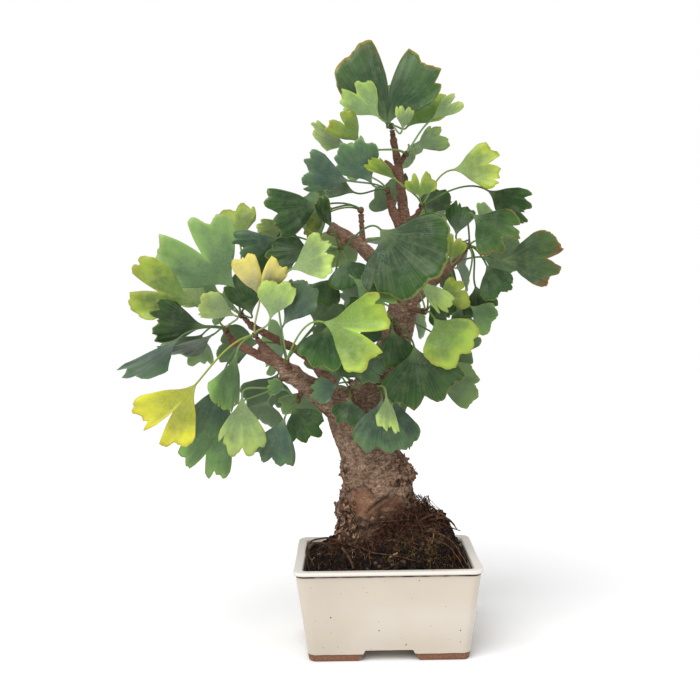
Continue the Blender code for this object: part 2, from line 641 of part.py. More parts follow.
def blade_frame(base, tip, turn):
    """Midrib, side and face directions of a blade, its face towards the view at turn 0."""
    midrib = tip - base
    length = midrib.length
    midrib = midrib / length
    towards = Vector((VIEW_X, VIEW_Y, VIEW_Z)) - base
    face = (towards - midrib * towards.dot(midrib)).normalized()
    side = face.cross(midrib)
    turned = face * math.cos(turn) + side * math.sin(turn)
    return midrib, turned.cross(midrib), turned, length


def petiole_path(leaf, midrib):
    """Points of a smooth stalk from inside the bud to the blade's base."""
    start = leaf["bud"]
    end = leaf["base"]
    span = (end - start).length
    leave = (leaf["spur_way"] * 0.7 + (end - start).normalized()).normalized()
    first = start + leave * span * 0.33
    last = end - midrib * span * 0.33
    steps = 3 if span > LONG_STALK else 2
    points = []
    for step in range(steps + 1):
        t = step / steps
        points.append(start * (1 - t) ** 3 + first * 3 * t * (1 - t) ** 2
                      + last * 3 * t * t * (1 - t) + end * t ** 3)
    return points


def petiole_rings(leaf, midrib, side):
    """Three corners across each point of the stalk, the first one on the blade's face side."""
    path = petiole_path(leaf, midrib)
    rings = []
    ahead = midrib
    for index in reversed(range(len(path))):
        if index:
            ahead = (path[index] - path[index - 1]).normalized()
        side = (side - ahead * side.dot(ahead)).normalized()
        up = ahead.cross(side)
        ring = []
        for angle in (90, 210, 330):
            turn = math.radians(angle)
            ring.append(path[index] + (side * math.cos(turn) + up * math.sin(turn)) * PETIOLE_RADIUS)
        rings.insert(0, ring)
    return rings


def blade_skin(leaf, columns, sign, midrib, side, face, length):
    """Points of one face: a middle row and the margin, from one straight side to the other."""
    skin = []
    for share in (0.52, 1.0):
        for column in range(columns + 1):
            x = 2 * column / columns - 1
            angle = x * leaf["spread"]
            reach = share * margin(x, leaf["notch"], leaf["cuts"], leaf["phase"])
            u = reach * math.cos(angle)
            v = reach * math.sin(angle)
            steep = math.hypot(*blade_slope(u, v, leaf))
            lift = blade_lift(u, v, leaf) * length + sign * BLADE_THICK / 2 * math.sqrt(1 + steep * steep)
            skin.append(leaf["base"] + (midrib * u + side * v) * length + face * lift)
    return skin


def leaf_mesh(leaf):
    """Stalk and blade as one closed skin, the blade's triangles alike on both faces."""
    midrib, side, face, length = blade_frame(leaf["base"], leaf["tip"], leaf["turn"])
    columns = 10 if length > BIG_LEAF else 6
    rings = petiole_rings(leaf, midrib, side)
    points = [point for ring in rings for point in ring]
    faces = [(2, 1, 0)]
    for ring in range(len(rings) - 1):
        low = 3 * ring
        for corner in range(3):
            after = (corner + 1) % 3
            faces.append((low + corner, low + after, low + 3 + after))
            faces.append((low + corner, low + 3 + after, low + 3 + corner))
    crown, left, right = len(points) - 3, len(points) - 2, len(points) - 1
    row = columns + 1
    top = len(points)
    points += blade_skin(leaf, columns, 1, midrib, side, face, length)
    bottom = len(points)
    points += blade_skin(leaf, columns, -1, midrib, side, face, length)
    half = columns // 2
    faces.append((left, right, bottom + half))
    for column in range(columns):
        faces.append((crown, top + column, top + column + 1))
        root = left if column < half else right
        faces.append((root, bottom + column + 1, bottom + column))
        for skin in (top, bottom):
            inner, outer = skin + column, skin + row + column
            pair = [(inner, outer, outer + 1), (inner, outer + 1, inner + 1)]
            faces += pair if skin == top else [tuple(reversed(face_points)) for face_points in pair]
        faces.append((top + row + column, bottom + row + column, bottom + row + column + 1))
        faces.append((top + row + column, bottom + row + column + 1, top + row + column + 1))
    for root, column in ((left, 0), (right, columns)):
        faces.append((crown, root, bottom + column))
        faces.append((crown, bottom + column, top + column))
        faces.append((top + column, bottom + column, bottom + row + column))
        faces.append((top + column, bottom + row + column, top + row + column))
    return points, faces


def blade_lift(u, v, leaf):
    """Height over the flat blade: droop along the midrib, cup across it and a wave at the edge."""
    reach = math.hypot(u, v)
    angle = math.atan2(v, u)
    wave = leaf["wave"] * reach * reach * math.sin(4.2 * angle + leaf["phase"])
    return leaf["cup"] * v * v - leaf["droop"] * u * u + wave


def blade_slope(u, v, leaf):
    step = 0.01
    return ((blade_lift(u + step, v, leaf) - blade_lift(u - step, v, leaf)) / (2 * step),
            (blade_lift(u, v + step, leaf) - blade_lift(u, v - step, leaf)) / (2 * step))


def new_leaf(spur, base, tip, spread, turn, notch, colour, draw):
    root, end = (seen_point(*place) for place in SPURS[spur])
    way = (end - root).normalized()
    return {
        "spur": spur, "base": base, "tip": tip, "spread": math.radians(spread),
        "turn": math.radians(turn), "notch": notch, "colour": colour,
        "cuts": (draw.uniform(0.02, 0.12), draw.uniform(0.02, 0.12)),
        "phase": draw.uniform(0, 6.28), "cup": draw.uniform(0.02, 0.22),
        "droop": draw.uniform(-0.05, 0.22), "wave": draw.uniform(0.02, 0.06),
        "bud": end + way * (BUD_RADIUS + GAP * 0.6), "spur_way": way,
    }


def all_leaves():
    draw = random.Random(BACK_SEED)
    leaves = []
    for spur, bx, by, bd, tx, ty, td, spread, turn, notch, colour in LEAVES:
        leaves.append(new_leaf(spur, seen_point(bx, by, bd), seen_point(tx, ty, td),
                               spread, turn, notch, colour, draw))
    for spur, bearing, rise, reach, length, colour in BACK_LEAVES:
        start = seen_point(*SPURS[spur][1])
        level = math.cos(math.radians(rise))
        way = Vector((math.cos(math.radians(bearing)) * level,
                      math.sin(math.radians(bearing)) * level, math.sin(math.radians(rise))))
        base = start + way * reach * MM
        sag = Vector((0, 0, draw.uniform(-0.5, 0.1)))
        tip = base + (way + sag).normalized() * length * MM
        leaves.append(new_leaf(spur, base, tip, draw.uniform(42, 56), draw.uniform(-40, 40) + 180,
                               draw.uniform(0.08, 0.4), colour, draw))
    return leaves


def tree_of(points, faces):
    return BVHTree.FromPolygons([tuple(point) for point in points], triangulate(faces))


# how a leaf that meets another bunch is bent clear: moves of its base and tip, mm back, and a turn
BENDS = [(0, 0, 0), (0, -7, 0), (0, 7, 0), (-6, -6, 0), (6, 6, 0), (0, -14, 8), (0, 14, -8),
         (-12, -12, 0), (12, 12, 0), (-6, -18, 15), (6, 18, -15), (-18, -18, 0), (18, 18, 0),
         (-26, -26, 0), (26, 26, 0), (-12, -30, 25), (12, 30, -25), (-34, -34, 20), (34, 34, -20)]


def bend_clear(leaf, placed, wood_tree):
    """The first bend of the leaf, in the order of the list, that touches no other bunch."""
    base, tip, turn = leaf["base"].copy(), leaf["tip"].copy(), leaf["turn"]
    for base_back, tip_back, more_turn in BENDS:
        leaf["base"] = base + Vector((0, base_back * MM, 0))
        leaf["tip"] = tip + Vector((0, tip_back * MM, 0))
        leaf["turn"] = turn + math.radians(more_turn)
        own_tree = tree_of(*leaf_mesh(leaf))
        others = [tree for spur, tree in placed if spur != leaf["spur"]]
        if not any(own_tree.overlap(tree) for tree in [wood_tree] + others):
            return own_tree
    return None


def make_leaves(wood):
    wood.data.calc_loop_triangles()
    corners = [vert.co.copy() for vert in wood.data.vertices]
    wood_tree = BVHTree.FromPolygons(corners, [tuple(t.vertices) for t in wood.data.loop_triangles])
    placed = []
    for spur in SPURS:
        root, end = (seen_point(*place) for place in SPURS[spur])
        bud = knob_mesh(end + (end - root).normalized() * (BUD_RADIUS + GAP * 0.6))
        placed.append((spur, tree_of(*bud)))
    bunches = {spur: [] for spur in SPURS}
    for number, leaf in enumerate(all_leaves()):
        own_tree = bend_clear(leaf, placed, wood_tree)
        if own_tree is None:
            print("leaf", number, "of", leaf["spur"], "found no clear place")
            continue
        placed.append((leaf["spur"], own_tree))
        bunches[leaf["spur"]].append(leaf)
    for spur, leaves in bunches.items():
        make_bunch(spur, leaves)


def knob_mesh(centre):
    """The bud at a spur's tip, an octahedron-like ball."""
    points = []
    for ring, height in enumerate((-0.6, 0.6)):
        for side in range(5):
            angle = 2 * math.pi * (side + ring / 2) / 5
            points.append(centre + Vector((0.8 * math.cos(angle), 0.8 * math.sin(angle), height))
                          * BUD_RADIUS)
    points += [centre + Vector((0, 0, -BUD_RADIUS)), centre + Vector((0, 0, BUD_RADIUS))]
    faces = []
    for side in range(5):
        after = (side + 1) % 5
        faces.append((10, after, side))
        faces.append((11, 5 + side, 5 + after))
        faces.append((side, after, 5 + side))
        faces.append((after, 5 + after, 5 + side))
    return points, faces


def make_bunch(spur, leaves):
    main = max(leaves, key=lambda leaf: (leaf["tip"] - leaf["base"]).length)
    material = make_material("leaf_" + spur, COLOURS[main["colour"]], 0.5)
    pieces = [make_object("bud", *knob_mesh(leaves[0]["bud"]))]
    for leaf in leaves:
        piece = make_object("leaf", *leaf_mesh(leaf))
        recalculate(piece)
        pieces.append(piece)
    return fuse("leaves_" + spur, material, pieces)


def shift_all():
    """Moves every mesh so that the whole stands on z = 0 round x = y = 0."""
    for item in bpy.data.objects:
        for vert in item.data.vertices:
            vert.co += CENTRE_SHIFT


def shade(item):
    item.data.shade_smooth()
    item.data.set_sharp_from_angle(angle=math.radians(35))


def main():
    clear_scene()
    glaze = make_material("glaze", (0.70, 0.62, 0.50), 0.18)
    plastic = make_material("screen_plastic", (0.03, 0.03, 0.03), 0.5)
    earth = make_material("earth", (0.045, 0.028, 0.016), 0.95)
    bark = make_material("bark", (0.16, 0.10, 0.065), 0.9)
    trunk_path = limb_path(LIMBS["trunk"], 1)
    make_pot(glaze)
    make_screen("drain_screen_left", -1, plastic)
    make_screen("drain_screen_right", 1, plastic)
    make_soil(earth, trunk_path)
    wood = make_wood(bark, trunk_path)
    make_leaves(wood)
    shift_all()
    for item in bpy.data.objects:
        shade(item)


main()
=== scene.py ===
import math
import random

import bmesh
import bpy
import numpy as np
from mathutils import Matrix, Vector
from mathutils.bvhtree import BVHTree


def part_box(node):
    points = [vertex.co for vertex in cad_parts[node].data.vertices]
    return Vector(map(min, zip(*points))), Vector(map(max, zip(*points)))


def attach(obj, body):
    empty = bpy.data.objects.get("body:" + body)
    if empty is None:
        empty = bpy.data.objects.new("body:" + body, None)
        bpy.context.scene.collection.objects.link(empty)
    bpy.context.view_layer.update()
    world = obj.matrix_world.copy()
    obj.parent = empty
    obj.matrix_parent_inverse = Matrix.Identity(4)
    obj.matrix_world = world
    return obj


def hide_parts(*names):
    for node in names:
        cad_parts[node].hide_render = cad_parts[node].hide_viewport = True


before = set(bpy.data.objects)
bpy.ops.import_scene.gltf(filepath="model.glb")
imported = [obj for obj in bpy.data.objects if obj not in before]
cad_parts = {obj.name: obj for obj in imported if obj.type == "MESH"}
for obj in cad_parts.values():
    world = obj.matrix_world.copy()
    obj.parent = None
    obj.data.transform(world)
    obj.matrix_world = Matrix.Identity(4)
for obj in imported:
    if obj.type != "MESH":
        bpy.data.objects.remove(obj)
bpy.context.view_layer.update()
mm = 0.001
print("frame loaded:", len(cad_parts), "nodes")

potLow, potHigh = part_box("pot")
potMiddle = Vector(((potLow.x + potHigh.x) / 2, (potLow.y + potHigh.y) / 2, 0.0))  # places count from here
potCentre = np.array(potMiddle)

viewSpec = {
    "focal": 1079.0, "centre": 350.0, "imageSide": 700.0,  # in the photograph's pixels
    "pitch": 4.1, "roll": 0.87,                            # degrees, nose down and clockwise
    "place": (-22.3, -718.0, 249.3),                       # mm from the pot's middle on the table
    "sensor": 36.0,
}


def seenPoint(pixelX, pixelY, depth):
    # the point at this depth (mm back from the pot's middle) on the ray through the pixel
    pitch, roll = math.radians(viewSpec["pitch"]), math.radians(viewSpec["roll"])
    across, above = pixelX - viewSpec["centre"], viewSpec["centre"] - pixelY
    imageX = across * math.cos(roll) + above * math.sin(roll)
    imageY = -across * math.sin(roll) + above * math.cos(roll)
    rayX = imageX / viewSpec["focal"]
    rayY = math.cos(pitch) + imageY / viewSpec["focal"] * math.sin(pitch)
    rayZ = -math.sin(pitch) + imageY / viewSpec["focal"] * math.cos(pitch)
    x, y, z = (value * mm for value in viewSpec["place"])
    reach = (depth * mm - y) / rayY
    return Vector((x + reach * rayX, depth * mm, z + reach * rayZ)) + potMiddle


# small numpy tools

def valueNoise(points, size, seed):
    # smooth noise from -1 to 1: random values on a lattice of the given size, blended between its corners
    scaled = np.asarray(points) / size
    cell = np.floor(scaled).astype(np.int64)
    part = scaled - cell
    part = part * part * (3 - 2 * part)
    total = 0.0
    for corner in range(8):
        step = np.array([corner & 1, corner >> 1 & 1, corner >> 2 & 1])
        place = cell + step
        mixed = (place[..., 0] * 374761393 + place[..., 1] * 668265263
                 + place[..., 2] * 1440662683 + seed * 974634777) & 0xFFFFFFFF
        mixed = ((mixed ^ (mixed >> 13)) * 1274126177) & 0xFFFFFFFF
        value = ((mixed ^ (mixed >> 16)) & 0xFFFF) / 32767.5 - 1
        weight = np.prod(np.where(step == 1, part, 1 - part), axis=-1)
        total = total + value * weight
    return total


def layeredNoise(points, size, seed, layers=3):
    # noise at the size, plus half as strong noise at half the size, and so on
    return sum(valueNoise(points, size / 2 ** k, seed + k) / 2 ** k for k in range(layers))


def smoothStep(low, high, value):
    # 0 below low, 1 above high, and 3 t² - 2 t³ between them
    share = np.clip((value - low) / (high - low), 0, 1)
    return share * share * (3 - 2 * share)


def unit(vectors):
    # each vector over its own length
    return vectors / np.maximum(np.linalg.norm(vectors, axis=-1, keepdims=True), 1e-12)


def smoothPath(knots, steps):
    # Catmull-Rom curve through the knots, with this many points a span
    knots = np.array(knots, float)
    padded = np.vstack([2 * knots[0] - knots[1], knots, 2 * knots[-1] - knots[-2]])
    t = np.linspace(0, 1, steps, endpoint=False)[None, :, None]
    before, start = padded[:-3, None], padded[1:-2, None]
    end, after = padded[2:-1, None], padded[3:, None]
    curve = 0.5 * (2 * start + (end - before) * t + (2 * before - 5 * start + 4 * end - after) * t ** 2
            + (3 * start - before - 3 * end + after) * t ** 3)
    return np.vstack([curve.reshape(-1, knots.shape[1]), knots[-1:]])


def wrapQuads(rows, sides):
    # quads of a grid that closes on itself across, rows along and sides around
    row, side = np.meshgrid(np.arange(rows - 1), np.arange(sides), indexing="ij")
    after = (side + 1) % sides
    quads = np.stack([row * sides + side, row * sides + after,
            (row + 1) * sides + after, (row + 1) * sides + side], axis=-1)
    return quads.reshape(-1, 4)


def gridQuads(rows, columns, offset=0):
    # quads of an open grid, rows along and columns across
    row, column = np.meshgrid(np.arange(rows - 1), np.arange(columns - 1), indexing="ij")
    start = row * columns + column
    quads = np.stack([start, start + 1, start + columns + 1, start + columns], axis=-1)
    return quads.reshape(-1, 4) + offset


def closedGrid(rows, columns):
    # quads of two skins over one grid, the second skin's points after the first's, joined by a rim
    count = rows * columns
    border = np.concatenate([np.arange(columns), np.arange(1, rows) * columns + columns - 1,
            (rows - 1) * columns + np.arange(columns - 1)[::-1],
            np.arange(1, rows - 1)[::-1] * columns])
    after = np.roll(border, -1)
    rim = np.stack([border, after, after + count, border + count], -1)
    return np.vstack([gridQuads(rows, columns)[:, ::-1], gridQuads(rows, columns, count), rim])


def fanTriangles(ring, middle, flip=False):
    # triangles from each side of a ring to one middle point
    triangles = np.stack([ring, np.roll(ring, -1), np.full(len(ring), middle)], axis=-1)
    return triangles[:, ::-1] if flip else triangles


def carriedTubes(paths, radii, sides):
    # circles of the radii carried along each path: centre + radius (cos a side + sin a other),
    # paths is (count, points, 3) and radii is (count, points)
    count, length, _ = paths.shape
    along = unit(np.gradient(paths, axis=1))
    helper = np.where(np.abs(along[:, :1, 2:3]) > 0.85, np.array([1.0, 0, 0]), np.array([0, 0, 1.0]))
    side = unit(np.cross(along, np.broadcast_to(helper, along.shape)))
    other = np.cross(side, along)
    angle = np.arange(sides) * 2 * math.pi / sides
    circle = (np.cos(angle)[None, None, :, None] * side[:, :, None]
              + np.sin(angle)[None, None, :, None] * other[:, :, None])
    rings = paths[:, :, None] + radii[:, :, None, None] * circle
    points = rings.reshape(count, -1, 3)
    ends = np.stack([paths[:, 0], paths[:, -1]], axis=1)
    points = np.concatenate([points, ends], axis=1)
    each = points.shape[1]
    quads = wrapQuads(length, sides)
    first = np.arange(sides)
    last = first + (length - 1) * sides
    caps = np.vstack([fanTriangles(first, each - 2), fanTriangles(last, each - 1, True)])
    shift = (np.arange(count) * each)[:, None, None]
    return points.reshape(-1, 3), (quads[None, :, ::-1] + shift).reshape(-1, 4), \
        (caps[None, :, ::-1] + shift).reshape(-1, 3)


def copiedShapes(shape, triangles, places, turns, sizes):
    # one small shape turned, scaled and moved to every place
    points = np.einsum("nij,kj->nki", turns, shape) * sizes[:, None, :] + places[:, None]
    shift = (np.arange(len(places)) * len(shape))[:, None, None]
    return points.reshape(-1, 3), (triangles[None] + shift).reshape(-1, 3)


def randomTurns(draw, count):
    # rotation matrices from random quaternions
    w, x, y, z = unit(draw.normal(size=(count, 4))).T
    return np.stack([
        np.stack([1 - 2 * (y * y + z * z), 2 * (x * y - z * w), 2 * (x * z + y * w)], -1),
        np.stack([2 * (x * y + z * w), 1 - 2 * (x * x + z * z), 2 * (y * z - x * w)], -1),
        np.stack([2 * (x * z - y * w), 2 * (y * z + x * w), 1 - 2 * (x * x + y * y)], -1)], axis=1)


def meshPiece(name, points, faces, material, uvs=None, tints=None, smooth=True):
    # an object at the origin, with an own UV map and colour attributes for each point where given
    mesh = bpy.data.meshes.new(name)
    mesh.from_pydata(np.asarray(points).tolist(), [], [row for part in faces for row in part.tolist()])
    if uvs is not None:
        corner = np.zeros(len(mesh.loops), np.int32)
        mesh.loops.foreach_get("vertex_index", corner)
        mesh.uv_layers.new(name="pieceUv").data.foreach_set("uv", uvs[corner].astype(np.float32).ravel())
    paintMesh(mesh, tints or {})
    mesh.polygons.foreach_set("use_smooth", np.full(len(mesh.polygons), smooth))
    mesh.materials.append(material)
    piece = bpy.data.objects.new(name, mesh)
    bpy.context.scene.collection.objects.link(piece)
    return piece


def paintMesh(mesh, tints):
    # tints: attribute name to one colour a point
    for name, values in tints.items():
        layer = mesh.attributes.new(name, "FLOAT_COLOR", "POINT")
        layer.data.foreach_set("color", values.astype(np.float32).ravel())


# shader groups and small node helpers

def addNode(tree, kind, inputs=None, **settings):
    # settings go on first, then each input gets a link or a value
    node = tree.nodes.new("ShaderNode" + kind)
    for key, value in settings.items():
        setattr(node, key, value)
    for key, value in (inputs or {}).items():
        if isinstance(value, bpy.types.NodeSocket):
            tree.links.new(value, node.inputs[key])
        else:
            node.inputs[key].default_value = value
    return node


def maths(tree, operation, first, second=0.0):
    # one sum of two values or sockets
    return addNode(tree, "Math", {0: first, 1: second}, operation=operation).outputs[0]


def times(tree, first, second):
    # first times second
    return maths(tree, "MULTIPLY", first, second)


def plus(tree, first, second):
    # first plus second
    return maths(tree, "ADD", first, second)


def mixColour(tree, share, first, second, blend="MIX"):
    # a tint of three numbers gets its alpha here, a socket is linked
    first, second = (value if isinstance(value, bpy.types.NodeSocket) else (*value, 1.0)
            for value in (first, second))
    node = addNode(tree, "Mix", {0: share, 6: first, 7: second}, data_type="RGBA", blend_type=blend)
    return node.outputs[2]


def layTints(tree, body, layers):
    # lays each (share, tint) over what is there
    for share, tint in layers:
        body = mixColour(tree, share, body, tint)
    return body


def shaded(tint, factor):
    # the tint times the factor
    return tuple(value * factor for value in tint)


def remap(tree, value, low, high, outLow=0.0, outHigh=1.0):
    # from low..high to outLow..outHigh along a smooth step
    ends = {"Value": value, "From Min": low, "From Max": high, "To Min": outLow, "To Max": outHigh}
    return addNode(tree, "MapRange", ends, interpolation_type="SMOOTHSTEP").outputs[0]


def noiseOn(tree, vector, scale, detail=2.0, roughness=0.5):
    # layered noise from 0 to 1
    inputs = {"Vector": vector, "Scale": scale, "Detail": detail, "Roughness": roughness}
    return addNode(tree, "TexNoise", inputs).outputs[0]


def newGroup(name, inputs, outputs):
    # an empty node group with its sockets: inputs are (label, kind, value), outputs (label, kind)
    group = bpy.data.node_groups.new(name, "ShaderNodeTree")
    for label, kind, value in inputs:
        socket = group.interface.new_socket(label, in_out="INPUT", socket_type="NodeSocket" + kind)
        if value is not None:
            socket.default_value = value
    for label, kind in outputs:
        group.interface.new_socket(label, in_out="OUTPUT", socket_type="NodeSocket" + kind)
    source = group.nodes.new("NodeGroupInput")
    target = group.nodes.new("NodeGroupOutput")
    return group, source.outputs, target.inputs


def mottleGroup():
    # soft patches: layered noise stretched to a 0 to 1 mask
    group, given, made = newGroup("softMottle", [("Vector", "Vector", None), ("Scale", "Float", 40.0),
            ("Low", "Float", 0.35), ("High", "Float", 0.65)],
            [("Mask", "Float")])
    noise = noiseOn(group, given["Vector"], given["Scale"], 4.0)
    group.links.new(remap(group, noise, given["Low"], given["High"]), made["Mask"])
    return group


def gritGroup():
    # fine grain: sharp noise as a height and a mask of its darkest grains
    group, given, made = newGroup("fineGrit", [("Vector", "Vector", None), ("Scale", "Float", 900.0)],
            [("Height", "Float"), ("Grain", "Float")])
    noise = noiseOn(group, given["Vector"], given["Scale"], 5.0, 0.7)
    group.links.new(noise, made["Height"])
    group.links.new(remap(group, noise, 0.58, 0.42), made["Grain"])
    return group


def speckGroup():
    # sparse round specks: only the cells of a lattice whose own value is high enough
    group, given, made = newGroup("sparseSpecks", [("Vector", "Vector", None), ("Scale", "Float", 200.0),
            ("Rarity", "Float", 0.97), ("Size", "Float", 0.12)],
            [("Mask", "Float")])
    cells = addNode(group, "TexVoronoi", {"Vector": given["Vector"], "Scale": given["Scale"]})
    near = maths(group, "LESS_THAN", cells.outputs["Distance"], given["Size"])
    value = addNode(group, "SeparateColor", {"Color": cells.outputs["Color"]}).outputs[0]
    rare = maths(group, "GREATER_THAN", value, given["Rarity"])
    group.links.new(times(group, near, rare), made["Mask"])
    return group


groups = {"mottle": mottleGroup(), "grit": gritGroup(), "specks": speckGroup()}


def placeGroup(tree, name, inputs):
    # one of the shared groups with its inputs set
    return addNode(tree, "Group", inputs, node_tree=groups[name]).outputs


def mottleOn(tree, place, scale, low=0.35, high=0.65):
    # mask of soft patches
    return placeGroup(tree, "mottle", {"Vector": place, "Scale": scale, "Low": low, "High": high})["Mask"]


def gritOn(tree, place, scale):
    # height and mask of a fine grain
    return placeGroup(tree, "grit", {"Vector": place, "Scale": scale})


def newMaterial(name, roughness=0.5, specular=0.5):
    # a material with its tree, its shader and the place to read, in Object coordinates
    material = bpy.data.materials.new(name)
    material.use_nodes = True
    tree = material.node_tree
    shader = tree.nodes["Principled BSDF"]
    shader.inputs["Roughness"].default_value = roughness
    shader.inputs["Specular IOR Level"].default_value = specular
    return material, tree, shader, addNode(tree, "TexCoord").outputs["Object"]


def linkShader(tree, shader, colour, bump, roughness=None):
    # bump is (height, strength, distance in metres)
    relief = addNode(tree, "Bump", dict(zip(("Height", "Strength", "Distance"), bump))).outputs[0]
    for label, source in (("Base Color", colour), ("Roughness", roughness), ("Normal", relief)):
        if source is not None:
            tree.links.new(source, shader.inputs[label])


def roughMaterial(name, tints, scale):
    # dull matter: soft patches of two tints, dark grains and a grainy relief
    material, tree, shader, place = newMaterial(name, 0.95, 0.15)
    grit = gritOn(tree, place, 1500.0)
    body = mixColour(tree, mottleOn(tree, place, scale, 0.38, 0.62), *tints)
    body = mixColour(tree, times(tree, grit["Grain"], 0.5), body, shaded(tints[0], 0.45))
    linkShader(tree, shader, body, (grit["Height"], 0.6, 0.0005))
    return material


# pot

potSpec = {
    "rim": (122.0, 96.0), "base": (104.0, 80.0), "height": 60.0, "rimBand": 6.4, "lip": 1.3,
    "lipHeight": 2.8, "wall": 5.5, "corner": 7.5, "floorTop": 12.0, "footHeight": 7.2,
    "recess": 4.5, "footRing": 10.0, "notchFront": 41.0, "notchSide": 30.0, "notchTaper": 4.5,
    "innerSoft": 1.4, "drainRadius": 4.5, "drainOffset": 25.0, "clayTop": 4.6,
    "cornerPoints": 12, "sidePoints": 22, "wobble": 0.22, "wobbleSize": 34.0, "sharpAngle": 42,
    "lipBottomHeight": 57.2, "specks": ((230.0, 0.86, 0.12), (420.0, 0.94, 0.15)),    # scale, rarity, size
    # the dark tint of the line under the lip is a painted shadow, and the rim's lighter glaze a painted
    # highlight
    "glaze": (0.585, 0.512, 0.425), "rimHighlight": (0.76, 0.715, 0.645), "clay": (0.26, 0.115, 0.06),
    "streak": (0.66, 0.605, 0.53), "lowShade": (0.50, 0.435, 0.350), "speck": (0.055, 0.035, 0.03),
    "fineSpeck": (0.16, 0.10, 0.07), "lipShadow": (0.040, 0.025, 0.018), "burntClay": (0.07, 0.035, 0.02),
}


def wallSize(z, inset):
    # width and depth of the leaning wall at this height, moved in by the inset, in mm
    lean = z / potSpec["height"]
    return [base + (rim - 2 * potSpec["lip"] - base) * lean - 2 * inset
            for base, rim in zip(potSpec["base"], potSpec["rim"])]


def roundedRing(width, depth, corner, z, cornerPoints, sidePoints):
    # a rectangle's outline whose corners are quarter circles, with even points along its sides, in mm
    arcs = []
    for signX, signY, start in ((1, -1, -90), (1, 1, 0), (-1, 1, 90), (-1, -1, 180)):
        angle = np.radians(start + np.linspace(0, 90, cornerPoints))
        arcs.append(np.stack([signX * (width / 2 - corner) + corner * np.cos(angle),
                signY * (depth / 2 - corner) + corner * np.sin(angle)], -1))
    loop = []
    for index, arc in enumerate(arcs):
        following = arcs[(index + 1) % 4][0]
        share = np.linspace(0, 1, sidePoints + 2)[1:-1, None]
        loop += [arc, arc[-1] * (1 - share) + following * share]
    flat = np.vstack(loop)
    return np.column_stack([flat, np.full(len(flat), z)])


def potSections():
    # foot edge, leaning wall, thin half-round lip, flat band, rounded inner edge, inner wall and floor
    lipBottom = potSpec["height"] - potSpec["lipHeight"]
    inner, top, corner = potSpec["rimBand"] - potSpec["lip"], potSpec["height"], potSpec["corner"]
    rimW, rimD = potSpec["rim"]
    sections = [(*wallSize(0, 0.9), corner - 2.9, 0.0), (*wallSize(0, 0.3), corner - 2.3, 0.35),
                (*wallSize(0, 0.0), corner - 2, 1.1)]
    for z in np.linspace(3.5, lipBottom - 1.6, 14):
        sections.append((*wallSize(z, 0.0), corner - 1.6, z))
    sections.append((*wallSize(lipBottom - 0.6, 0.05), corner - 1.4, lipBottom - 0.6))
    sections.append((*wallSize(lipBottom - 0.15, 0.3), corner - 1.4, lipBottom - 0.15))
    half = potSpec["lipHeight"] / 2
    for turn in np.radians(np.linspace(-78, 90, 10)):      # the lip's half-round outer side
        out = half * (1 - math.cos(turn))
        sections.append((rimW - 2 * out, rimD - 2 * out, corner - out, top - half + half * math.sin(turn)))
    soft = potSpec["innerSoft"]
    for turn in np.radians(np.linspace(90, 180, 6)):       # over the band into the inner edge
        inset = inner - soft + soft * abs(math.cos(turn))
        sections.append((*wallSize(top, inset), corner - 3.4, top - soft + soft * math.sin(turn)))
    floor = potSpec["floorTop"]
    for z in np.linspace(top - 4, floor + 3, 6):
        share = (top - 4 - z) / 41
        sections.append((*wallSize(z, inner + (potSpec["wall"] - inner) * share), corner - 3.6, z))
    sections.append((*wallSize(floor, potSpec["wall"] + 2.5), corner - 4.8, floor))
    return sections


def stackedFaces(rows, around):
    # a closed wall of stacked outlines, its two ends filled from middle points that follow the outlines
    count = rows * around
    return [wrapQuads(rows, around), fanTriangles(np.arange(around), count, True),
            fanTriangles(np.arange(around) + count - around, count + 1)]


def loftedSolid(name, sections, cornerPoints, sidePoints, wobble=0.0):
    # outlines of the sections (width, depth, corner, height) stacked into a closed wall
    rings = np.array([roundedRing(w, d, c, z, cornerPoints, sidePoints) for w, d, c, z in sections])
    rows, around, _ = rings.shape
    points = rings.reshape(-1, 3)
    if wobble:
        push = layeredNoise(points, potSpec["wobbleSize"], 5, 2) * wobble
        outward = points * np.array([1.0, 1.0, 0.0])
        points = points + unit(outward) * push[:, None] * smoothStep(1.0, 6.0, points[:, 2])[:, None]
    points = np.vstack([points, [[0, 0, sections[0][3]], [0, 0, sections[-1][3]]]])
    return meshPiece(name, points * mm + potCentre, stackedFaces(rows, around), bareMaterial)


def notchSolid(width, length, alongX):
    # a trapezoid with rounded upper corners, drawn out under the pot
    half, high, taper = width / 2, potSpec["footHeight"], potSpec["notchTaper"]
    turn = np.radians(np.linspace(0, 70, 5))
    arc = np.stack([half - taper - 1.6 + 1.6 * np.cos(turn), high - 1.6 + 1.6 * np.sin(turn)], -1)
    right = np.vstack([[[half, -1.0]], arc])
    outline = np.vstack([right, right[::-1] * np.array([-1, 1])])
    count = len(outline)
    rings = []
    for side in (-1, 1):
        along = np.full(count, side * length / 2)
        flat = (along * -1, outline[:, 0]) if alongX else (outline[:, 0], along)
        rings.append(np.column_stack([*flat, outline[:, 1]]))
    points = np.vstack(rings + [rings[0].mean(0), rings[1].mean(0)])
    faces = [wrapQuads(2, count)[:, ::-1], fanTriangles(np.arange(count), 2 * count),
             fanTriangles(np.arange(count) + count, 2 * count + 1, True)]
    return outwardPiece(meshPiece("notch", points * mm + potCentre, faces, bareMaterial))


def outwardPiece(piece):
    # turns a closed piece round if its volume comes out negative
    shape = bmesh.new()
    shape.from_mesh(piece.data)
    inverted = shape.calc_volume(signed=True) < 0
    shape.free()
    if inverted:
        piece.data.flip_normals()
    return piece


def applyModifiers(piece):
    # the piece keeps the mesh that its modifiers make
    graph = bpy.context.evaluated_depsgraph_get()
    fresh = bpy.data.meshes.new_from_object(piece.evaluated_get(graph))
    piece.modifiers.clear()
    old = piece.data
    piece.data = fresh
    bpy.data.meshes.remove(old)


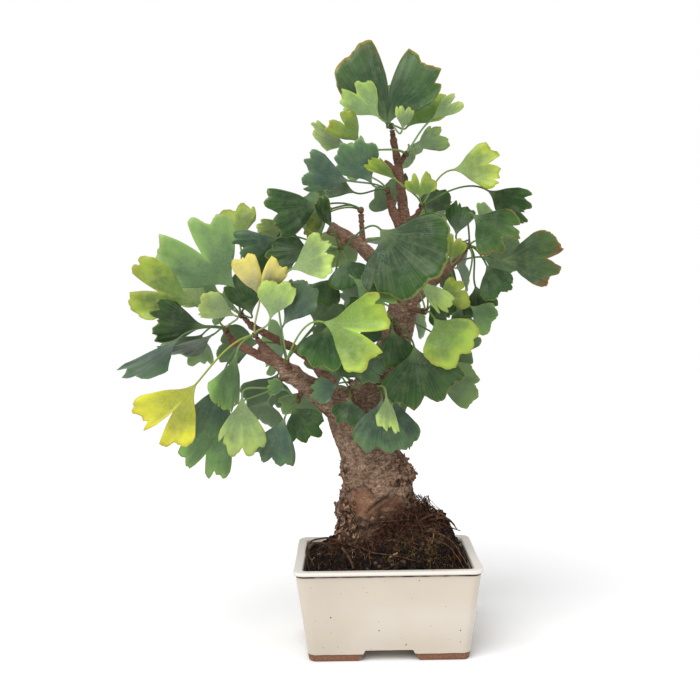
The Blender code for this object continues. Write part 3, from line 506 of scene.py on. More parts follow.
def cutAway(piece, cutters):
    # the piece less every cutter, which goes once it has cut
    for cutter in cutters:
        difference = piece.modifiers.new("cut", "BOOLEAN")
        difference.operation = "DIFFERENCE"
        difference.object = cutter
        applyModifiers(piece)
        bpy.data.objects.remove(cutter, do_unlink=True)


def potMaterial():
    # ivory glaze, cloudy, lighter in streaks and darker towards the foot, with a painted highlight on the
    # rim, specks and a painted shadow line under the lip, over bare clay feet that are burnt along the
    # glaze's edge
    material, tree, shader, place = newMaterial("ivoryGlaze")
    height = addNode(tree, "SeparateXYZ", {0: place}).outputs[2]
    wave, edgeWave = noiseOn(tree, place, 90.0), noiseOn(tree, place, 160.0)
    cloud = mottleOn(tree, place, 22.0, 0.3, 0.7)
    streaks = times(tree, mottleOn(tree, place, 16.0, 0.48, 0.62),
            remap(tree, height, 0.045, 0.028, 0.0, 0.75))
    specks, finer = (placeGroup(tree, "specks", {"Vector": place, "Scale": scale, "Rarity": rarity,
            "Size": size})["Mask"]
            for scale, rarity, size in potSpec["specks"])
    # painted shadow: a dark wavy line along the lip's underside
    lipBottomHeight = potSpec["lipBottomHeight"] * mm
    lineHeight = plus(tree, height, times(tree, wave, 0.0004))
    away = maths(tree, "ABSOLUTE", maths(tree, "SUBTRACT", lineHeight, lipBottomHeight))
    lipShadow = times(tree, remap(tree, away, 0.0010, 0.00045), remap(tree, wave, 0.3, 0.6, 0.55, 1.0))
    body = mixColour(tree, cloud, potSpec["glaze"], shaded(potSpec["glaze"], 1.08))
    # painted highlight: the glaze above the lip's underside height, on the lip and rim band, is lighter
    body = layTints(tree, body, [
        (streaks, potSpec["streak"]), (remap(tree, height, 0.030, 0.006, 0.0, 0.45), potSpec["lowShade"]),
        (remap(tree, height, lipBottomHeight, lipBottomHeight + 0.0008), potSpec["rimHighlight"]),
        (times(tree, specks, 0.95), potSpec["speck"]), (times(tree, finer, 0.6), potSpec["fineSpeck"]),
        (lipShadow, potSpec["lipShadow"])])
    edge = potSpec["clayTop"] * mm
    glazeLine = plus(tree, height, times(tree, edgeWave, 0.0008))
    clayMask = remap(tree, glazeLine, edge + 0.0005, edge + 0.0001)
    burnt = times(tree, remap(tree, glazeLine, edge - 0.0012, edge), 0.55)
    grit = gritOn(tree, place, 900.0)
    clay = mixColour(tree, grit["Grain"], potSpec["clay"], shaded(potSpec["clay"], 0.6))
    body = mixColour(tree, clayMask, body, mixColour(tree, burnt, clay, potSpec["burntClay"]))
    rough = plus(tree, times(tree, clayMask, 0.6), remap(tree, cloud, 0, 1, 0.14, 0.22))
    grain = times(tree, grit["Height"], times(tree, clayMask, 0.7))
    relief = plus(tree, noiseOn(tree, place, 130.0), grain)
    linkShader(tree, shader, body, (relief, 0.25, 0.0004), rough)
    return material


def makePot():
    # the lofted body, less the recess between the feet, the notches and the two drain holes
    body = loftedSolid("potBody", potSections(), potSpec["cornerPoints"], potSpec["sidePoints"],
            potSpec["wobble"])
    recessSize = wallSize(0.0, potSpec["footRing"])
    recess = [(*recessSize, 6.0, -1.0), (*recessSize, 6.0, potSpec["recess"])]
    cutters = [loftedSolid("recess", recess, 6, 2), notchSolid(potSpec["notchFront"], 100.0, False),
               notchSolid(potSpec["notchSide"], 124.0, True)]
    for side in (-1, 1):
        x = side * potSpec["drainOffset"]
        path = np.array([[[x, 0.0, -1.0], [x, 0.0, 14.0]]]) * mm + potCentre
        points, quads, caps = carriedTubes(path, np.full((1, 2), potSpec["drainRadius"] * mm), 28)
        cutters.append(outwardPiece(meshPiece("drain", points, [quads, caps], bareMaterial)))
    cutAway(body, cutters)
    body.data.materials.clear()
    body.data.materials.append(potMaterial())
    body.data.set_sharp_from_angle(angle=math.radians(potSpec["sharpAngle"]))
    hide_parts("pot")
    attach(body, "root")


bareMaterial = bpy.data.materials.new("workMaterial")
makePot()
print("pot made")


# wood: each limb is a list of (pixel x, pixel y, depth mm, radius mm)

limbs = {
    "trunk": [(382, 566, 2, 24), (382, 545, 2, 28), (381, 528, 2, 28.5), (380, 512, 2, 25),
        (379, 495, 1, 24), (378, 476, 1, 23), (373, 459, 1, 20), (364, 441, 1, 17.5),
        (355, 423, 1, 16.5), (348, 406, 1, 14.5), (347, 394, 1, 9)],
    "mainStem": [(352, 412, 2, 13), (367, 395, 4, 13), (379, 378, 6, 12), (391, 354, 8, 11.5),
        (399, 328, 9, 10.5), (404, 304, 9, 9.5), (404, 284, 8, 7)],
    "leftBough": [(348, 410, 0, 12), (331, 398, -3, 11), (313, 388, -8, 7.5), (299, 379, -13, 6),
        (290, 373, -15, 6.4), (281, 365, -16, 4.6), (270, 355, -18, 3.8), (261, 345, -19, 3.4)],
    "cutStubLeft": [(276, 362, -16, 3.4), (264, 357, -15, 3.1), (247, 349, -13, 2.9), (229, 339, -11, 3.1)],
    "upperBranch": [(338, 398, 8, 6), (322, 372, 9, 4.2), (304, 354, 10, 3.2), (276, 339, 10, 2.7),
        (250, 325, 9, 2.5)],
    "thickStub": [(404, 296, 7, 7.5), (395, 281, 5, 6), (380, 266, 0, 5), (361, 246, -4, 4.5),
        (344, 235, -6, 4.2), (329, 227, -7, 4.3)],
    "leader": [(404, 300, 10, 8), (410, 272, 11, 5.8), (410, 246, 11, 5), (405, 222, 10, 4.2),
        (402, 195, 9, 3.3), (399, 170, 8, 2.9), (396, 152, 7, 2.5), (393, 139, 7, 2.3)],
    "leftStub": [(408, 240, 11, 4), (399, 224, 7, 3.4), (392, 208, 4, 3), (390, 200, 3, 3)],
    "rightStub": [(407, 238, 10, 3.4), (412, 226, 8, 2.8), (416, 216, 7, 2.7)],
    "smallStub": [(400, 178, 9, 2.4), (391, 167, 5, 1.9), (384, 161, 3, 1.9)],
    "rightBranch": [(402, 306, 9, 6), (420, 293, 9, 4.8), (438, 277, 8, 3.6), (451, 265, 7, 3),
        (461, 256, 6, 2.8)],
}
cutLimbs = ("cutStubLeft", "thickStub", "leftStub", "rightStub", "smallStub")

# spurs: the limb point each grows from and its tip, both (pixel x, pixel y, depth mm)
spurs = {
    "bough_tip": ((263, 347, -19), (257, 338, -22)), "bough_node": ((290, 372, -17), (287, 363, -26)),
    "bough_under": ((286, 370, -14), (279, 382, -15)), "fork_left": ((303, 384, -9), (299, 397, -13)),
    "cut_stub_end": ((232, 341, -12), (227, 332, -16)), "upper_branch_tip": ((252, 326, 9), (244, 318, 7)),
    "thick_stub_top": ((345, 236, -6), (341, 246, -16)), "stub_twig": ((363, 246, -4), (361, 214, -5)),
    "left_stub_top": ((391, 203, 4), (388, 193, 0)), "right_stub_top": ((415, 218, 7), (420, 209, 4)),
    "leader_top": ((394, 142, 7), (392, 130, 6)), "leader_side": ((398, 166, 8), (404, 157, 3)),
    "right_tip": ((459, 258, 6), (466, 249, 4)), "right_low": ((405, 308, 4), (422, 311, -8)),
    "stem_front": ((398, 330, 0), (394, 322, -13)), "stem_low": ((381, 376, -2), (378, 384, -18)),
    "fork_front": ((352, 402, -8), (350, 391, -22)), "back_fork": ((362, 400, 12), (352, 384, 30)),
    "back_stem": ((398, 336, 17), (404, 322, 34)), "back_leader": ((409, 256, 14), (400, 244, 32)),
    "back_branch": ((436, 279, 9), (446, 268, 26)), "back_bough": ((312, 362, 11), (300, 350, 26)),
    "back_low": ((388, 362, 15), (404, 366, 32)),
}

woodSpec = {
    "voxel": 0.75, "sides": 26, "steps": 7, "lobes": 0.045,
    "spurRadii": (2.6, 1.8, 2.1), "spurMiddle": 0.55, "spurSides": 12, "spurSteps": 6,
    "frontGap": 6, "pixelSize": 0.65,                # mm in front of the pot's middle, mm a pixel there
    "lumps": [(402, 474, -9, 9), (397, 462, -6, 7), (350, 509, -6, 7), (406, 511, -7, 9),
        (294, 374, -15, 6.2), (366, 518, -16, 8)],
    # smooth patches without bark: pixel x, pixel y, half width, half height in pixels, tilt in degrees
    "bare": [(361, 503, 14, 18, -6), (391, 507, 18, 13, 24), (375, 514, 13, 9, 0)],
    # the fold gets a painted shadow along it as well as a dent
    "crease": [(367, 512), (372, 507), (379, 502), (387, 497)],                  # dark fold, in pixels
    "burl": [(404, 474, -9, 15), (411, 492, -8, 10)],
    "flakes": [(341, 508, -6, 14), (344, 524, -10, 13), (418, 514, -4, 13), (346, 470, -2, 7)],
    # relief in mm
    "relief": {"lumps": (0.3, 0.8), "fissure": (0.14, 0.36), "fine": (0.10, 0.2), "burl": 1.9,
        "plates": 1.9, "lowPlates": 0.9, "fold": 1.2, "foldLip": 0.8, "spurRings": 0.28,
        "thinRings": 0.2, "hollow": 1.1, "tornEdge": 0.8},
    "bark": (0.370, 0.235, 0.158), "barkDark": (0.050, 0.026, 0.016), "barkPale": (0.66, 0.50, 0.37),
    "red": (0.185, 0.075, 0.038), "tan": (0.300, 0.145, 0.082), "young": (0.20, 0.083, 0.052),
    "cutWood": (0.36, 0.25, 0.17), "sheen": (0.50, 0.29, 0.17), "streak": (0.085, 0.036, 0.020),
    "moss": (0.06, 0.075, 0.022), "plateTints": ((0.42, 0.25, 0.16), (0.075, 0.036, 0.020)),
    "plates": 520, "plateSize": (1.1, 3.8), "plateTilt": (-0.1, 0.24), "seed": 5,
}


def ringSolid(path, sides, lobes, steps):
    # circles carried along a path of (x, y, z, radius), waved by three and five lobes,
    # where the three turn slowly, by the knots passed
    centres, radii = path[:, :3], path[:, 3]
    along = unit(np.gradient(centres, axis=0))
    side = np.cross(along[0], (0.0, 1.0, 0.0))
    if np.linalg.norm(side) < 0.2:
        side = np.cross(along[0], (1.0, 0.0, 0.0))
    angle = np.arange(sides) * 2 * math.pi / sides
    rings = []
    for index in range(len(centres)):
        side = unit(side - along[index] * np.dot(side, along[index]))
        other = np.cross(along[index], side)
        knot = index / steps
        wave = 1 + lobes * np.sin(3 * angle + 0.35 * knot) + 0.6 * lobes * np.cos(5 * angle)
        rings.append(centres[index] + (radii[index] * wave)[:, None]
                * (np.cos(angle)[:, None] * side + np.sin(angle)[:, None] * other))
    return np.vstack(rings + [centres[:1], centres[-1:]]), stackedFaces(len(path), sides)


def ballSolid(centre, radius):
    # a ball as a grid of turn and rise, closed at its poles
    rise = np.radians(np.linspace(-80, 80, 9))
    turn = np.arange(14) * 2 * math.pi / 14
    rings = np.stack([np.outer(np.cos(rise), np.cos(turn)), np.outer(np.cos(rise), np.sin(turn)),
            np.outer(np.sin(rise), np.ones(14))], -1).reshape(-1, 3)
    points = np.vstack([rings, [[0, 0, -1], [0, 0, 1]]]) * radius + np.array(centre)
    return points, stackedFaces(9, 14)


def joinedSolids(solids):
    # the points and faces of many solids as one list each, the faces counting on
    points, faces, offset = [], [], 0
    for solidPoints, solidFaces in solids:
        points.append(solidPoints)
        faces += [part + offset for part in solidFaces]
        offset += len(solidPoints)
    return np.vstack(points), faces


def limbPaths():
    # smooth paths of (x, y, z, radius) in metres, the limbs' first and then the spurs'
    paths = {}
    for name, knots in limbs.items():
        rows = [(*seenPoint(x, y, depth), radius * mm) for x, y, depth, radius in knots]
        paths[name] = smoothPath(rows, woodSpec["steps"])
    for name, (root, tip) in spurs.items():
        start, end = seenPoint(*root), seenPoint(*tip)
        places = (start, start.lerp(end, woodSpec["spurMiddle"]), end)
        knots = [(*place, radius * mm) for place, radius in zip(places, woodSpec["spurRadii"])]
        paths["spur_" + name] = smoothPath(knots, woodSpec["spurSteps"])
    return paths


def nearestAlong(points, paths):
    # for every point: the direction, distance along, radius and limb number of the nearest path point
    columns = []
    for index, path in enumerate(paths.values()):
        steps = np.linalg.norm(np.diff(path[:, :3], axis=0), axis=1)
        reached = np.concatenate([[0], np.cumsum(steps)])
        columns.append(np.column_stack([path, unit(np.gradient(path[:, :3], axis=0)), reached,
                np.full(len(path), index)]))
    known = np.vstack(columns)
    best = np.zeros(len(points), int)
    for start in range(0, len(points), 20000):     # in blocks, to keep the distance table small
        block = points[start:start + 20000]
        gap = np.linalg.norm(block[:, None] - known[None, :, :3], axis=-1) - known[None, :, 3]
        best[start:start + 20000] = gap.argmin(axis=1)
    near = known[best]
    return near[:, 4:7], near[:, 7], near[:, 3], near[:, 8]


def ballMask(points, spots, soft=0.45):
    # 1 inside any of the balls (pixel x, pixel y, depth, radius mm), fading over their outer part
    mask = np.zeros(len(points))
    for x, y, depth, radius in spots:
        away = np.linalg.norm(points - np.array(seenPoint(x, y, depth)), axis=1) / (radius * mm)
        mask = np.maximum(mask, smoothStep(1.15, 1.15 - soft, away))
    return mask


def pixelOf(points):
    # where the photograph's view shows each point
    pitch, roll = math.radians(viewSpec["pitch"]), math.radians(viewSpec["roll"])
    local = points - potCentre - np.array(viewSpec["place"]) * mm
    depth = local[:, 1] * math.cos(pitch) - local[:, 2] * math.sin(pitch)
    x = local[:, 0] / depth * viewSpec["focal"]
    y = (local[:, 1] * math.sin(pitch) + local[:, 2] * math.cos(pitch)) / depth * viewSpec["focal"]
    return np.stack([viewSpec["centre"] + x * math.cos(roll) - y * math.sin(roll),
            viewSpec["centre"] - x * math.sin(roll) - y * math.cos(roll)], -1)


def inFront(points):
    # whether each point lies in front of the pot's middle
    return points[:, 1] < potMiddle.y - woodSpec["frontGap"] * mm


def creaseDistance(points):
    # distance in mm from the fold's polyline, for points on the front of the trunk
    pixels = pixelOf(points)
    knots = np.array(woodSpec["crease"], float)
    best = np.full(len(points), 1e3)
    for start, end in zip(knots[:-1], knots[1:]):
        span = end - start
        share = np.clip(((pixels - start) @ span) / (span @ span), 0, 1)
        best = np.minimum(best, np.linalg.norm(pixels - start - share[:, None] * span, axis=1))
    return np.where(inFront(points), best * woodSpec["pixelSize"], 1e3)


def patchReach(points):
    # 0 in the middle of the nearest bare patch, 1 at its edge, roughened by noise
    pixels = pixelOf(points)
    best = np.full(len(points), 9.0)
    for x, y, halfWide, halfHigh, tilt in woodSpec["bare"]:
        turn = math.radians(tilt)
        across, down = pixels[:, 0] - x, pixels[:, 1] - y
        first = (across * math.cos(turn) - down * math.sin(turn)) / halfWide
        second = (across * math.sin(turn) + down * math.cos(turn)) / halfHigh
        best = np.minimum(best, np.hypot(first, second))
    best = best + 0.22 * layeredNoise(points, 4.5 * mm, 31, 3)
    return np.where(inFront(points), best, 9.0)


def woodShape(points, normals, paths):
    # push along the normal = lumps + fissures + fine wrinkles + rough burl + plates + bare hollows with a
    # torn edge + a fold + rings on spurs and thin limbs, with colour masks for the same places
    along, reach, radius, owner = nearestAlong(points, paths)
    height = points[:, 2]
    lengthwise = np.einsum("ij,ij->i", points, along)[:, None] * along
    stretched, squashed = points - 0.6 * lengthwise, points + 0.9 * lengthwise
    thick = smoothStep(4.0 * mm, 14.0 * mm, radius)
    young = smoothStep(5.5 * mm, 2.8 * mm, radius)
    spur = np.isin(owner, [k for k, name in enumerate(paths) if name.startswith("spur_")]).astype(float)
    low = smoothStep(128 * mm, 92 * mm, height)
    patch = patchReach(points)
    bare = smoothStep(1.08, 0.72, patch)
    torn = np.exp(-((patch - 1.1) / 0.15) ** 2) * smoothStep(-0.3, 0.3, layeredNoise(points, 8 * mm, 33, 2))
    burl, flake = ballMask(points, woodSpec["burl"]), ballMask(points, woodSpec["flakes"])
    burlNoise, flakeNoise = layeredNoise(points, 4.6 * mm, 23, 4), layeredNoise(stretched, 5 * mm, 29, 3)
    creased = creaseDistance(points)

    relief = woodSpec["relief"]
    lumpBase, lumpMore = relief["lumps"]
    big = layeredNoise(points, 15 * mm, 3, 2) * (lumpBase + lumpMore * low) * mm * thick
    wrinkle = np.minimum(np.abs(layeredNoise(stretched, 3.2 * mm, 11, 3)),
            np.abs(layeredNoise(squashed, 4 * mm, 13, 3)))
    thin, more = relief["fissure"]
    fissure = -np.clip(1 - wrinkle * 4.0, 0, 1) ** 1.5 * (thin + more * thick) * mm * (1 - 0.85 * bare)
    thin, more = relief["fine"]
    fine = layeredNoise(squashed, 2.2 * mm, 17, 2) * (thin + more * thick) * mm * (1 - 0.6 * bare)
    rough = burlNoise * relief["burl"] * mm * burl
    plates = smoothStep(-0.05, 0.10, flakeNoise) * relief["plates"] * mm * flake
    lowPlates = smoothStep(0.0, 0.16, layeredNoise(stretched, 7 * mm, 37, 3))
    lowPlates = lowPlates * relief["lowPlates"] * mm * low
    fold = -relief["fold"] * mm * np.exp(-(creased / 1.0) ** 2)
    fold = fold + relief["foldLip"] * mm * np.exp(-((creased - 2.4) / 1.1) ** 2)
    rings = relief["spurRings"] * mm * np.sin(reach / (0.62 * mm)) * spur
    rings = rings + relief["thinRings"] * mm * np.sin(reach / (1.5 * mm)) * (1 - thick) * (1 - spur)
    hollow = -relief["hollow"] * mm * smoothStep(1.05, 0.5, patch) + relief["tornEdge"] * mm * torn
    push = big + fissure + fine + rough + (plates + lowPlates) * (1 - bare) + hollow + fold + rings

    tipCut = np.zeros(len(points))
    for path in (paths[name] for name in cutLimbs):
        tip, way = path[-1, :3], unit(path[-1, :3] - path[-2, :3])
        near = smoothStep(1.1, 0.95, np.linalg.norm(points - tip, axis=1) / path[-1, 3])
        tipCut = np.maximum(tipCut, near * smoothStep(0.5, 0.8, normals @ way))
    # painted shade in the fissures, along the fold, round the bare hollows, in the burl's hollows and
    # between plates; also darker towards the soil
    dark = np.clip(-fissure / (0.45 * mm), 0, 1) * 0.6 + 0.8 * np.exp(-(creased / 1.0) ** 2)
    dark = dark + 0.55 * np.exp(-((patch - 1.0) / 0.09) ** 2)
    dark = dark + 0.8 * smoothStep(97 * mm, 86 * mm, height + layeredNoise(points, 9 * mm, 53, 3) * 8 * mm)
    dark = dark + 0.8 * smoothStep(0.1, -0.35, burlNoise) * burl
    dark = dark + 0.6 * smoothStep(0.05, -0.1, flakeNoise) * flake
    moss = smoothStep(0.05, 0.5, layeredNoise(points, 6 * mm, 41, 3))
    moss = moss * smoothStep(104 * mm, 82 * mm, height)
    moss = np.maximum(moss, 0.7 * burl * smoothStep(0.1, 0.5, layeredNoise(points, 5 * mm, 43, 2)))
    pale = smoothStep(-0.2, 0.7, layeredNoise(squashed, 2.4 * mm, 47, 3)) * (0.6 + 0.4 * flake) + 0.4 * torn
    redder = smoothStep(368, 386, pixelOf(points)[:, 0])
    masks = {"barkMask": np.stack([bare, young, np.clip(dark, 0, 1), tipCut], -1),
             "barkMore": np.stack([moss, np.clip(pale, 0, 1), redder, np.ones(len(points))], -1)}
    return push, masks, np.clip(flake + burl + 0.12 * low * (1 - bare), 0, 1)


def barkMaterial():
    # grey-brown bark with pale flecks and slanted dark wrinkles, red-brown on young wood, tan to red with
    # light streaks of painted sheen and darker streaks where bare, pale at the cuts, mossy in patches, and
    # painted shade in the fissures, along the fold, round the bare hollows, in the burl and between plates,
    # darker towards the soil
    material, tree, shader, place = newMaterial("ginkgoBark", 0.85, 0.2)
    first, second = (addNode(tree, "Attribute", attribute_name=name).outputs
            for name in ("barkMask", "barkMore"))
    bare, young, dark = addNode(tree, "SeparateColor", {0: first["Color"]}).outputs
    moss, pale, redder = addNode(tree, "SeparateColor", {0: second["Color"]}).outputs
    slanted = addNode(tree, "Mapping", {"Vector": place, "Rotation": (0.0, 0.5, 0.0),
            "Scale": (1.0, 1.0, 3.4)}).outputs[0]
    patch, grit = mottleOn(tree, place, 120.0), gritOn(tree, place, 1100.0)
    wrinkle, sheen = noiseOn(tree, slanted, 210.0, 4.0, 0.62), noiseOn(tree, slanted, 60.0, 3.0)
    streak = noiseOn(tree, place, 260.0, 4.0)
    youngTint = mixColour(tree, patch, woodSpec["young"], shaded(woodSpec["young"], 0.66))
    bareTint = layTints(tree, mixColour(tree, redder, woodSpec["tan"], woodSpec["red"]), [
        (remap(tree, sheen, 0.5, 0.66, 0.0, 0.7), woodSpec["sheen"]),
        (remap(tree, streak, 0.35, 0.65, 0.0, 0.5), woodSpec["streak"])])
    fleck = times(tree, remap(tree, wrinkle, 0.55, 0.65), remap(tree, patch, 0, 1, 0.85, 0.2))
    mossy = times(tree, moss, remap(tree, streak, 0.45, 0.6))
    body = layTints(tree, mixColour(tree, patch, woodSpec["bark"], shaded(woodSpec["bark"], 0.72)), [
        (times(tree, pale, 0.35), woodSpec["barkPale"]), (fleck, woodSpec["barkPale"]),
        (remap(tree, wrinkle, 0.47, 0.36, 0.0, 0.6), woodSpec["barkDark"]),
        (times(tree, young, 0.7), youngTint), (times(tree, bare, 0.9), bareTint),
        (first["Alpha"], woodSpec["cutWood"]), (times(tree, mossy, 0.55), woodSpec["moss"]),
        (dark, woodSpec["barkDark"]), (times(tree, grit["Grain"], 0.45), woodSpec["barkDark"])])
    relief = plus(tree, times(tree, grit["Height"], 0.4), wrinkle)
    linkShader(tree, shader, body, (relief, 0.9, 0.0011), remap(tree, bare, 0.0, 1.0, 0.88, 0.62))
    return material


def makeBarkPlates(place, facing, plateShare):
    # thin peeling plates on the rough parts: height = 0.3 along² + 0.4 across², two skins and a rim
    draw = np.random.default_rng(woodSpec["seed"])
    along, across = np.meshgrid(np.linspace(0, 1, 4), np.linspace(-0.5, 0.5, 4), indexing="ij")
    across = 0.8 * across * (1 - 0.35 * along ** 2 + 0.3 * np.sin(9 * along + 8 * across))
    middle = np.stack([along, across, 0.3 * along ** 2 + 0.4 * across ** 2], -1).reshape(-1, 3)
    shape = np.vstack([middle + [0, 0, 0.05], middle - [0, 0, 0.05]])
    quads = closedGrid(4, 4)
    triangles = np.vstack([quads[:, [0, 1, 2]], quads[:, [0, 2, 3]]])
    chosen = draw.choice(len(place), woodSpec["plates"], replace=False, p=plateShare / plateShare.sum())
    normal = facing[chosen]
    side = unit(np.cross(normal, draw.normal(size=(len(chosen), 3))))
    tilt = draw.uniform(*woodSpec["plateTilt"], (len(chosen), 1))
    ahead = np.cross(side, normal) * np.cos(tilt) + normal * np.sin(tilt)
    turns = np.stack([ahead, side, np.cross(ahead, side)], -1)
    sizes = draw.uniform(*woodSpec["plateSize"], (len(chosen), 1)) * mm
    points, faces = copiedShapes(shape, triangles, place[chosen] - normal * 0.2 * mm, turns, sizes)
    material = roughMaterial("peelingBark", woodSpec["plateTints"], 330.0)
    plates = meshPiece("barkPlates", points, [faces], material)
    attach(plates, "root")


def makeWood():
    # tubes and lumps joined by a voxel remesh, then pushed along the normals
    paths = limbPaths()
    limbForm = (woodSpec["sides"], woodSpec["lobes"], woodSpec["steps"])
    spurForm = (woodSpec["spurSides"], 0.0, woodSpec["spurSteps"])
    solids = [ringSolid(path, *(spurForm if name.startswith("spur_") else limbForm))
              for name, path in paths.items()]
    solids += [ballSolid(seenPoint(*place), radius * mm) for *place, radius in woodSpec["lumps"]]
    points, faces = joinedSolids(solids)
    wood = meshPiece("barkedWood", points, faces, bareMaterial)
    remesh = wood.modifiers.new("remesh", "REMESH")
    remesh.mode = "VOXEL"
    remesh.voxel_size = woodSpec["voxel"] * mm
    applyModifiers(wood)
    mesh = wood.data
    place, facing = (np.zeros(len(mesh.vertices) * 3, np.float32) for _ in range(2))
    mesh.vertices.foreach_get("co", place)
    mesh.vertex_normals.foreach_get("vector", facing)
    place, facing = place.reshape(-1, 3).astype(float), facing.reshape(-1, 3).astype(float)
    push, masks, plateShare = woodShape(place, facing, paths)
    pushed = place + facing * push[:, None]
    mesh.vertices.foreach_set("co", pushed.astype(np.float32).ravel())
    paintMesh(mesh, masks)
    mesh.polygons.foreach_set("use_smooth", np.ones(len(mesh.polygons), bool))
    mesh.materials.clear()
    mesh.materials.append(barkMaterial())
    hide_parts("wood")
    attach(wood, "root")
    makeBarkPlates(pushed, facing, plateShare)
    print("wood made:", sum(len(face.vertices) - 2 for face in mesh.polygons), "triangles")


makeWood()


# soil with crumbs, fibrous roots, straws, stones and moss

soilSpec = {
    "walls": (52, 40), "spread": (51.5, 39.5), "clodSize": 9.0, "clodHeight": 2.0,
    "clump": (37, -7, 8, 10, 9.0),                       # x, y, half width, half depth, height
    "edgeZ": 55.0, "leftRise": 13.0, "rightRise": 28.0, "halfWidth": 52.0, "halfDepth": 41.0, "seed": 11,
    "crumbs": 2800, "roots": 240, "tangle": 2600, "moss": 3400, "stones": 20, "straws": 14,
    "trunkFibres": 900, "cornerPoints": 16, "sidePoints": 34,
    # mm: ranges of the random draws, and how far from the trunk each kind keeps
    "crumbClear": 20.0, "crumbLimit": 2.6, "stoneClear": 26.0, "stoneSize": (0.9, 2.0), "strawClear": 30.0,
    "strawReach": (5, 16), "strawRadius": (0.25, 0.5), "strawRise": (0, 2.0), "rootStart": (19, 30),
    "rootReach": (12, 30), "rootArch": (-0.2, 2.4), "rootRadius": (0.12, 0.42), "fibreClear": 24,
    "fibreReach": (3, 10), "fibreArch": (0.2, 3.0), "fibreRadius": (0.09, 0.22), "footStart": (24.0, 28.5),
    "footReach": (5, 17), "footRadius": (0.10, 0.34), "mossClear": 23, "mossTall": (0.7, 1.8),
    "mossWide": (0.16, 0.34),
    "earth": (0.011, 0.007, 0.006), "earthDark": (0.004, 0.003, 0.003),
    "root": (0.20, 0.105, 0.052), "rootDark": (0.045, 0.024, 0.014), "straw": (0.42, 0.30, 0.15),
    "crumb": (0.026, 0.016, 0.012), "rootShade": (0.11, 0.055, 0.028), "strawShade": (0.30, 0.21, 0.11),
    "stone": ((0.120, 0.076, 0.050), (0.075, 0.055, 0.042)),
    "mossTints": ((0.200, 0.160, 0.050), (0.035, 0.045, 0.012)),
    "longRoot": ((0.120, 0.060, 0.033), (0.035, 0.017, 0.010)),
    "fibres": {"fibreTangle": (0.7, ((0.080, 0.037, 0.022), (0.012, 0.007, 0.006))),   # share, tints
        "paleFibres": (0.3, ((0.33, 0.165, 0.085), (0.100, 0.044, 0.024)))},
    "footFibres": {"footRoots": (0.75, ((0.115, 0.052, 0.030), (0.014, 0.008, 0.006))),
        "paleFootRoots": (0.25, ((0.30, 0.150, 0.080), (0.080, 0.036, 0.020)))},
}


def soilHeight(x, y):
    # a steep-sided root ball over the soil's edge height, higher on the right, in mm from the pot's middle
    rise = soilSpec["leftRise"] + (soilSpec["rightRise"] - soilSpec["leftRise"]) * smoothStep(-30, 12, x)
    across, back = np.abs(x / soilSpec["halfWidth"]), np.abs(y / soilSpec["halfDepth"])
    reach = (across ** 2.6 + back ** 2.6) ** (1 / 2.6)
    mound = rise * np.clip(1 - reach ** 5, 0, None)
    return soilSpec["edgeZ"] + mound + 0.9 * np.sin(x / 5.3) * np.cos(y / 4.7)


def soilTop(x, y):
    # root ball + clods of noise that fade at the walls + a taller clump of roots on the right
    flat = np.stack([x, y, np.zeros_like(x)], -1)
    clods = layeredNoise(flat, soilSpec["clodSize"], 61, 5) * soilSpec["clodHeight"]
    clumpX, clumpY, clumpWide, clumpDeep, clumpHigh = soilSpec["clump"]
    clump = clumpHigh * np.exp(-((x - clumpX) / clumpWide) ** 2 - ((y - clumpY) / clumpDeep) ** 2)
    wide, deep = soilSpec["walls"]
    rim = smoothStep(1.0, 0.86, np.maximum(np.abs(x) / wide, np.abs(y) / deep))
    return soilHeight(x, y) + clods * (0.3 + 0.7 * rim) + clump


def insideWalls(x, y):
    # places held within the pot's inner walls
    wide, deep = soilSpec["walls"]
    return np.clip(x, -wide, wide), np.clip(y, -deep, deep)


def makeSoilBody():
    # rings of the pot's inner outline shrunk towards the middle, with walls and a bottom
    detail = (soilSpec["cornerPoints"], soilSpec["sidePoints"])
    shares = np.concatenate([np.linspace(1.0, 0.7, 40)[:-1], np.linspace(0.7, 0.12, 42)])
    inner = potSpec["rimBand"] - potSpec["lip"] + 0.45
    width, depth = wallSize(soilSpec["edgeZ"], inner)
    bottomZ = potSpec["floorTop"] + 1.5
    rings = [roundedRing(*wallSize(bottomZ, potSpec["wall"] + 3.05), 5.0, bottomZ, *detail),
             roundedRing(*wallSize(potSpec["floorTop"] + 4, potSpec["wall"] + 0.45), 6.0, 16.0, *detail)]
    for share in shares:
        ring = roundedRing(width * share, depth * share, 6.0 * share, 0.0, *detail)
        ring[:, 2] = soilTop(ring[:, 0], ring[:, 1]) if share < 1 else soilSpec["edgeZ"]
        rings.append(ring)
    rings = np.array(rings)
    rows, around, _ = rings.shape
    points = np.vstack([rings.reshape(-1, 3), [[0, 0, bottomZ]], rings[-1].mean(0)[None]])
    material = roughMaterial("darkEarth", (soilSpec["earth"], soilSpec["earthDark"]), 180.0)
    soil = meshPiece("soilMound", points * mm + potCentre, stackedFaces(rows, around), material)
    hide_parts("soil")
    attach(soil, "root")


def drawn(draw, name, count):
    # a column of random values from the named range
    return draw.uniform(*soilSpec[name], (count, 1))


def onSoil(draw, count, keepOut):
    # random places on the soil, outside a circle round the trunk, in mm
    x, y = (draw.uniform(-1, 1, count * 4) * side for side in soilSpec["spread"])
    clear = np.hypot(x - 2, y - 2) > keepOut
    x, y = x[clear][:count], y[clear][:count]
    return np.stack([x, y, soilTop(x, y)], -1)


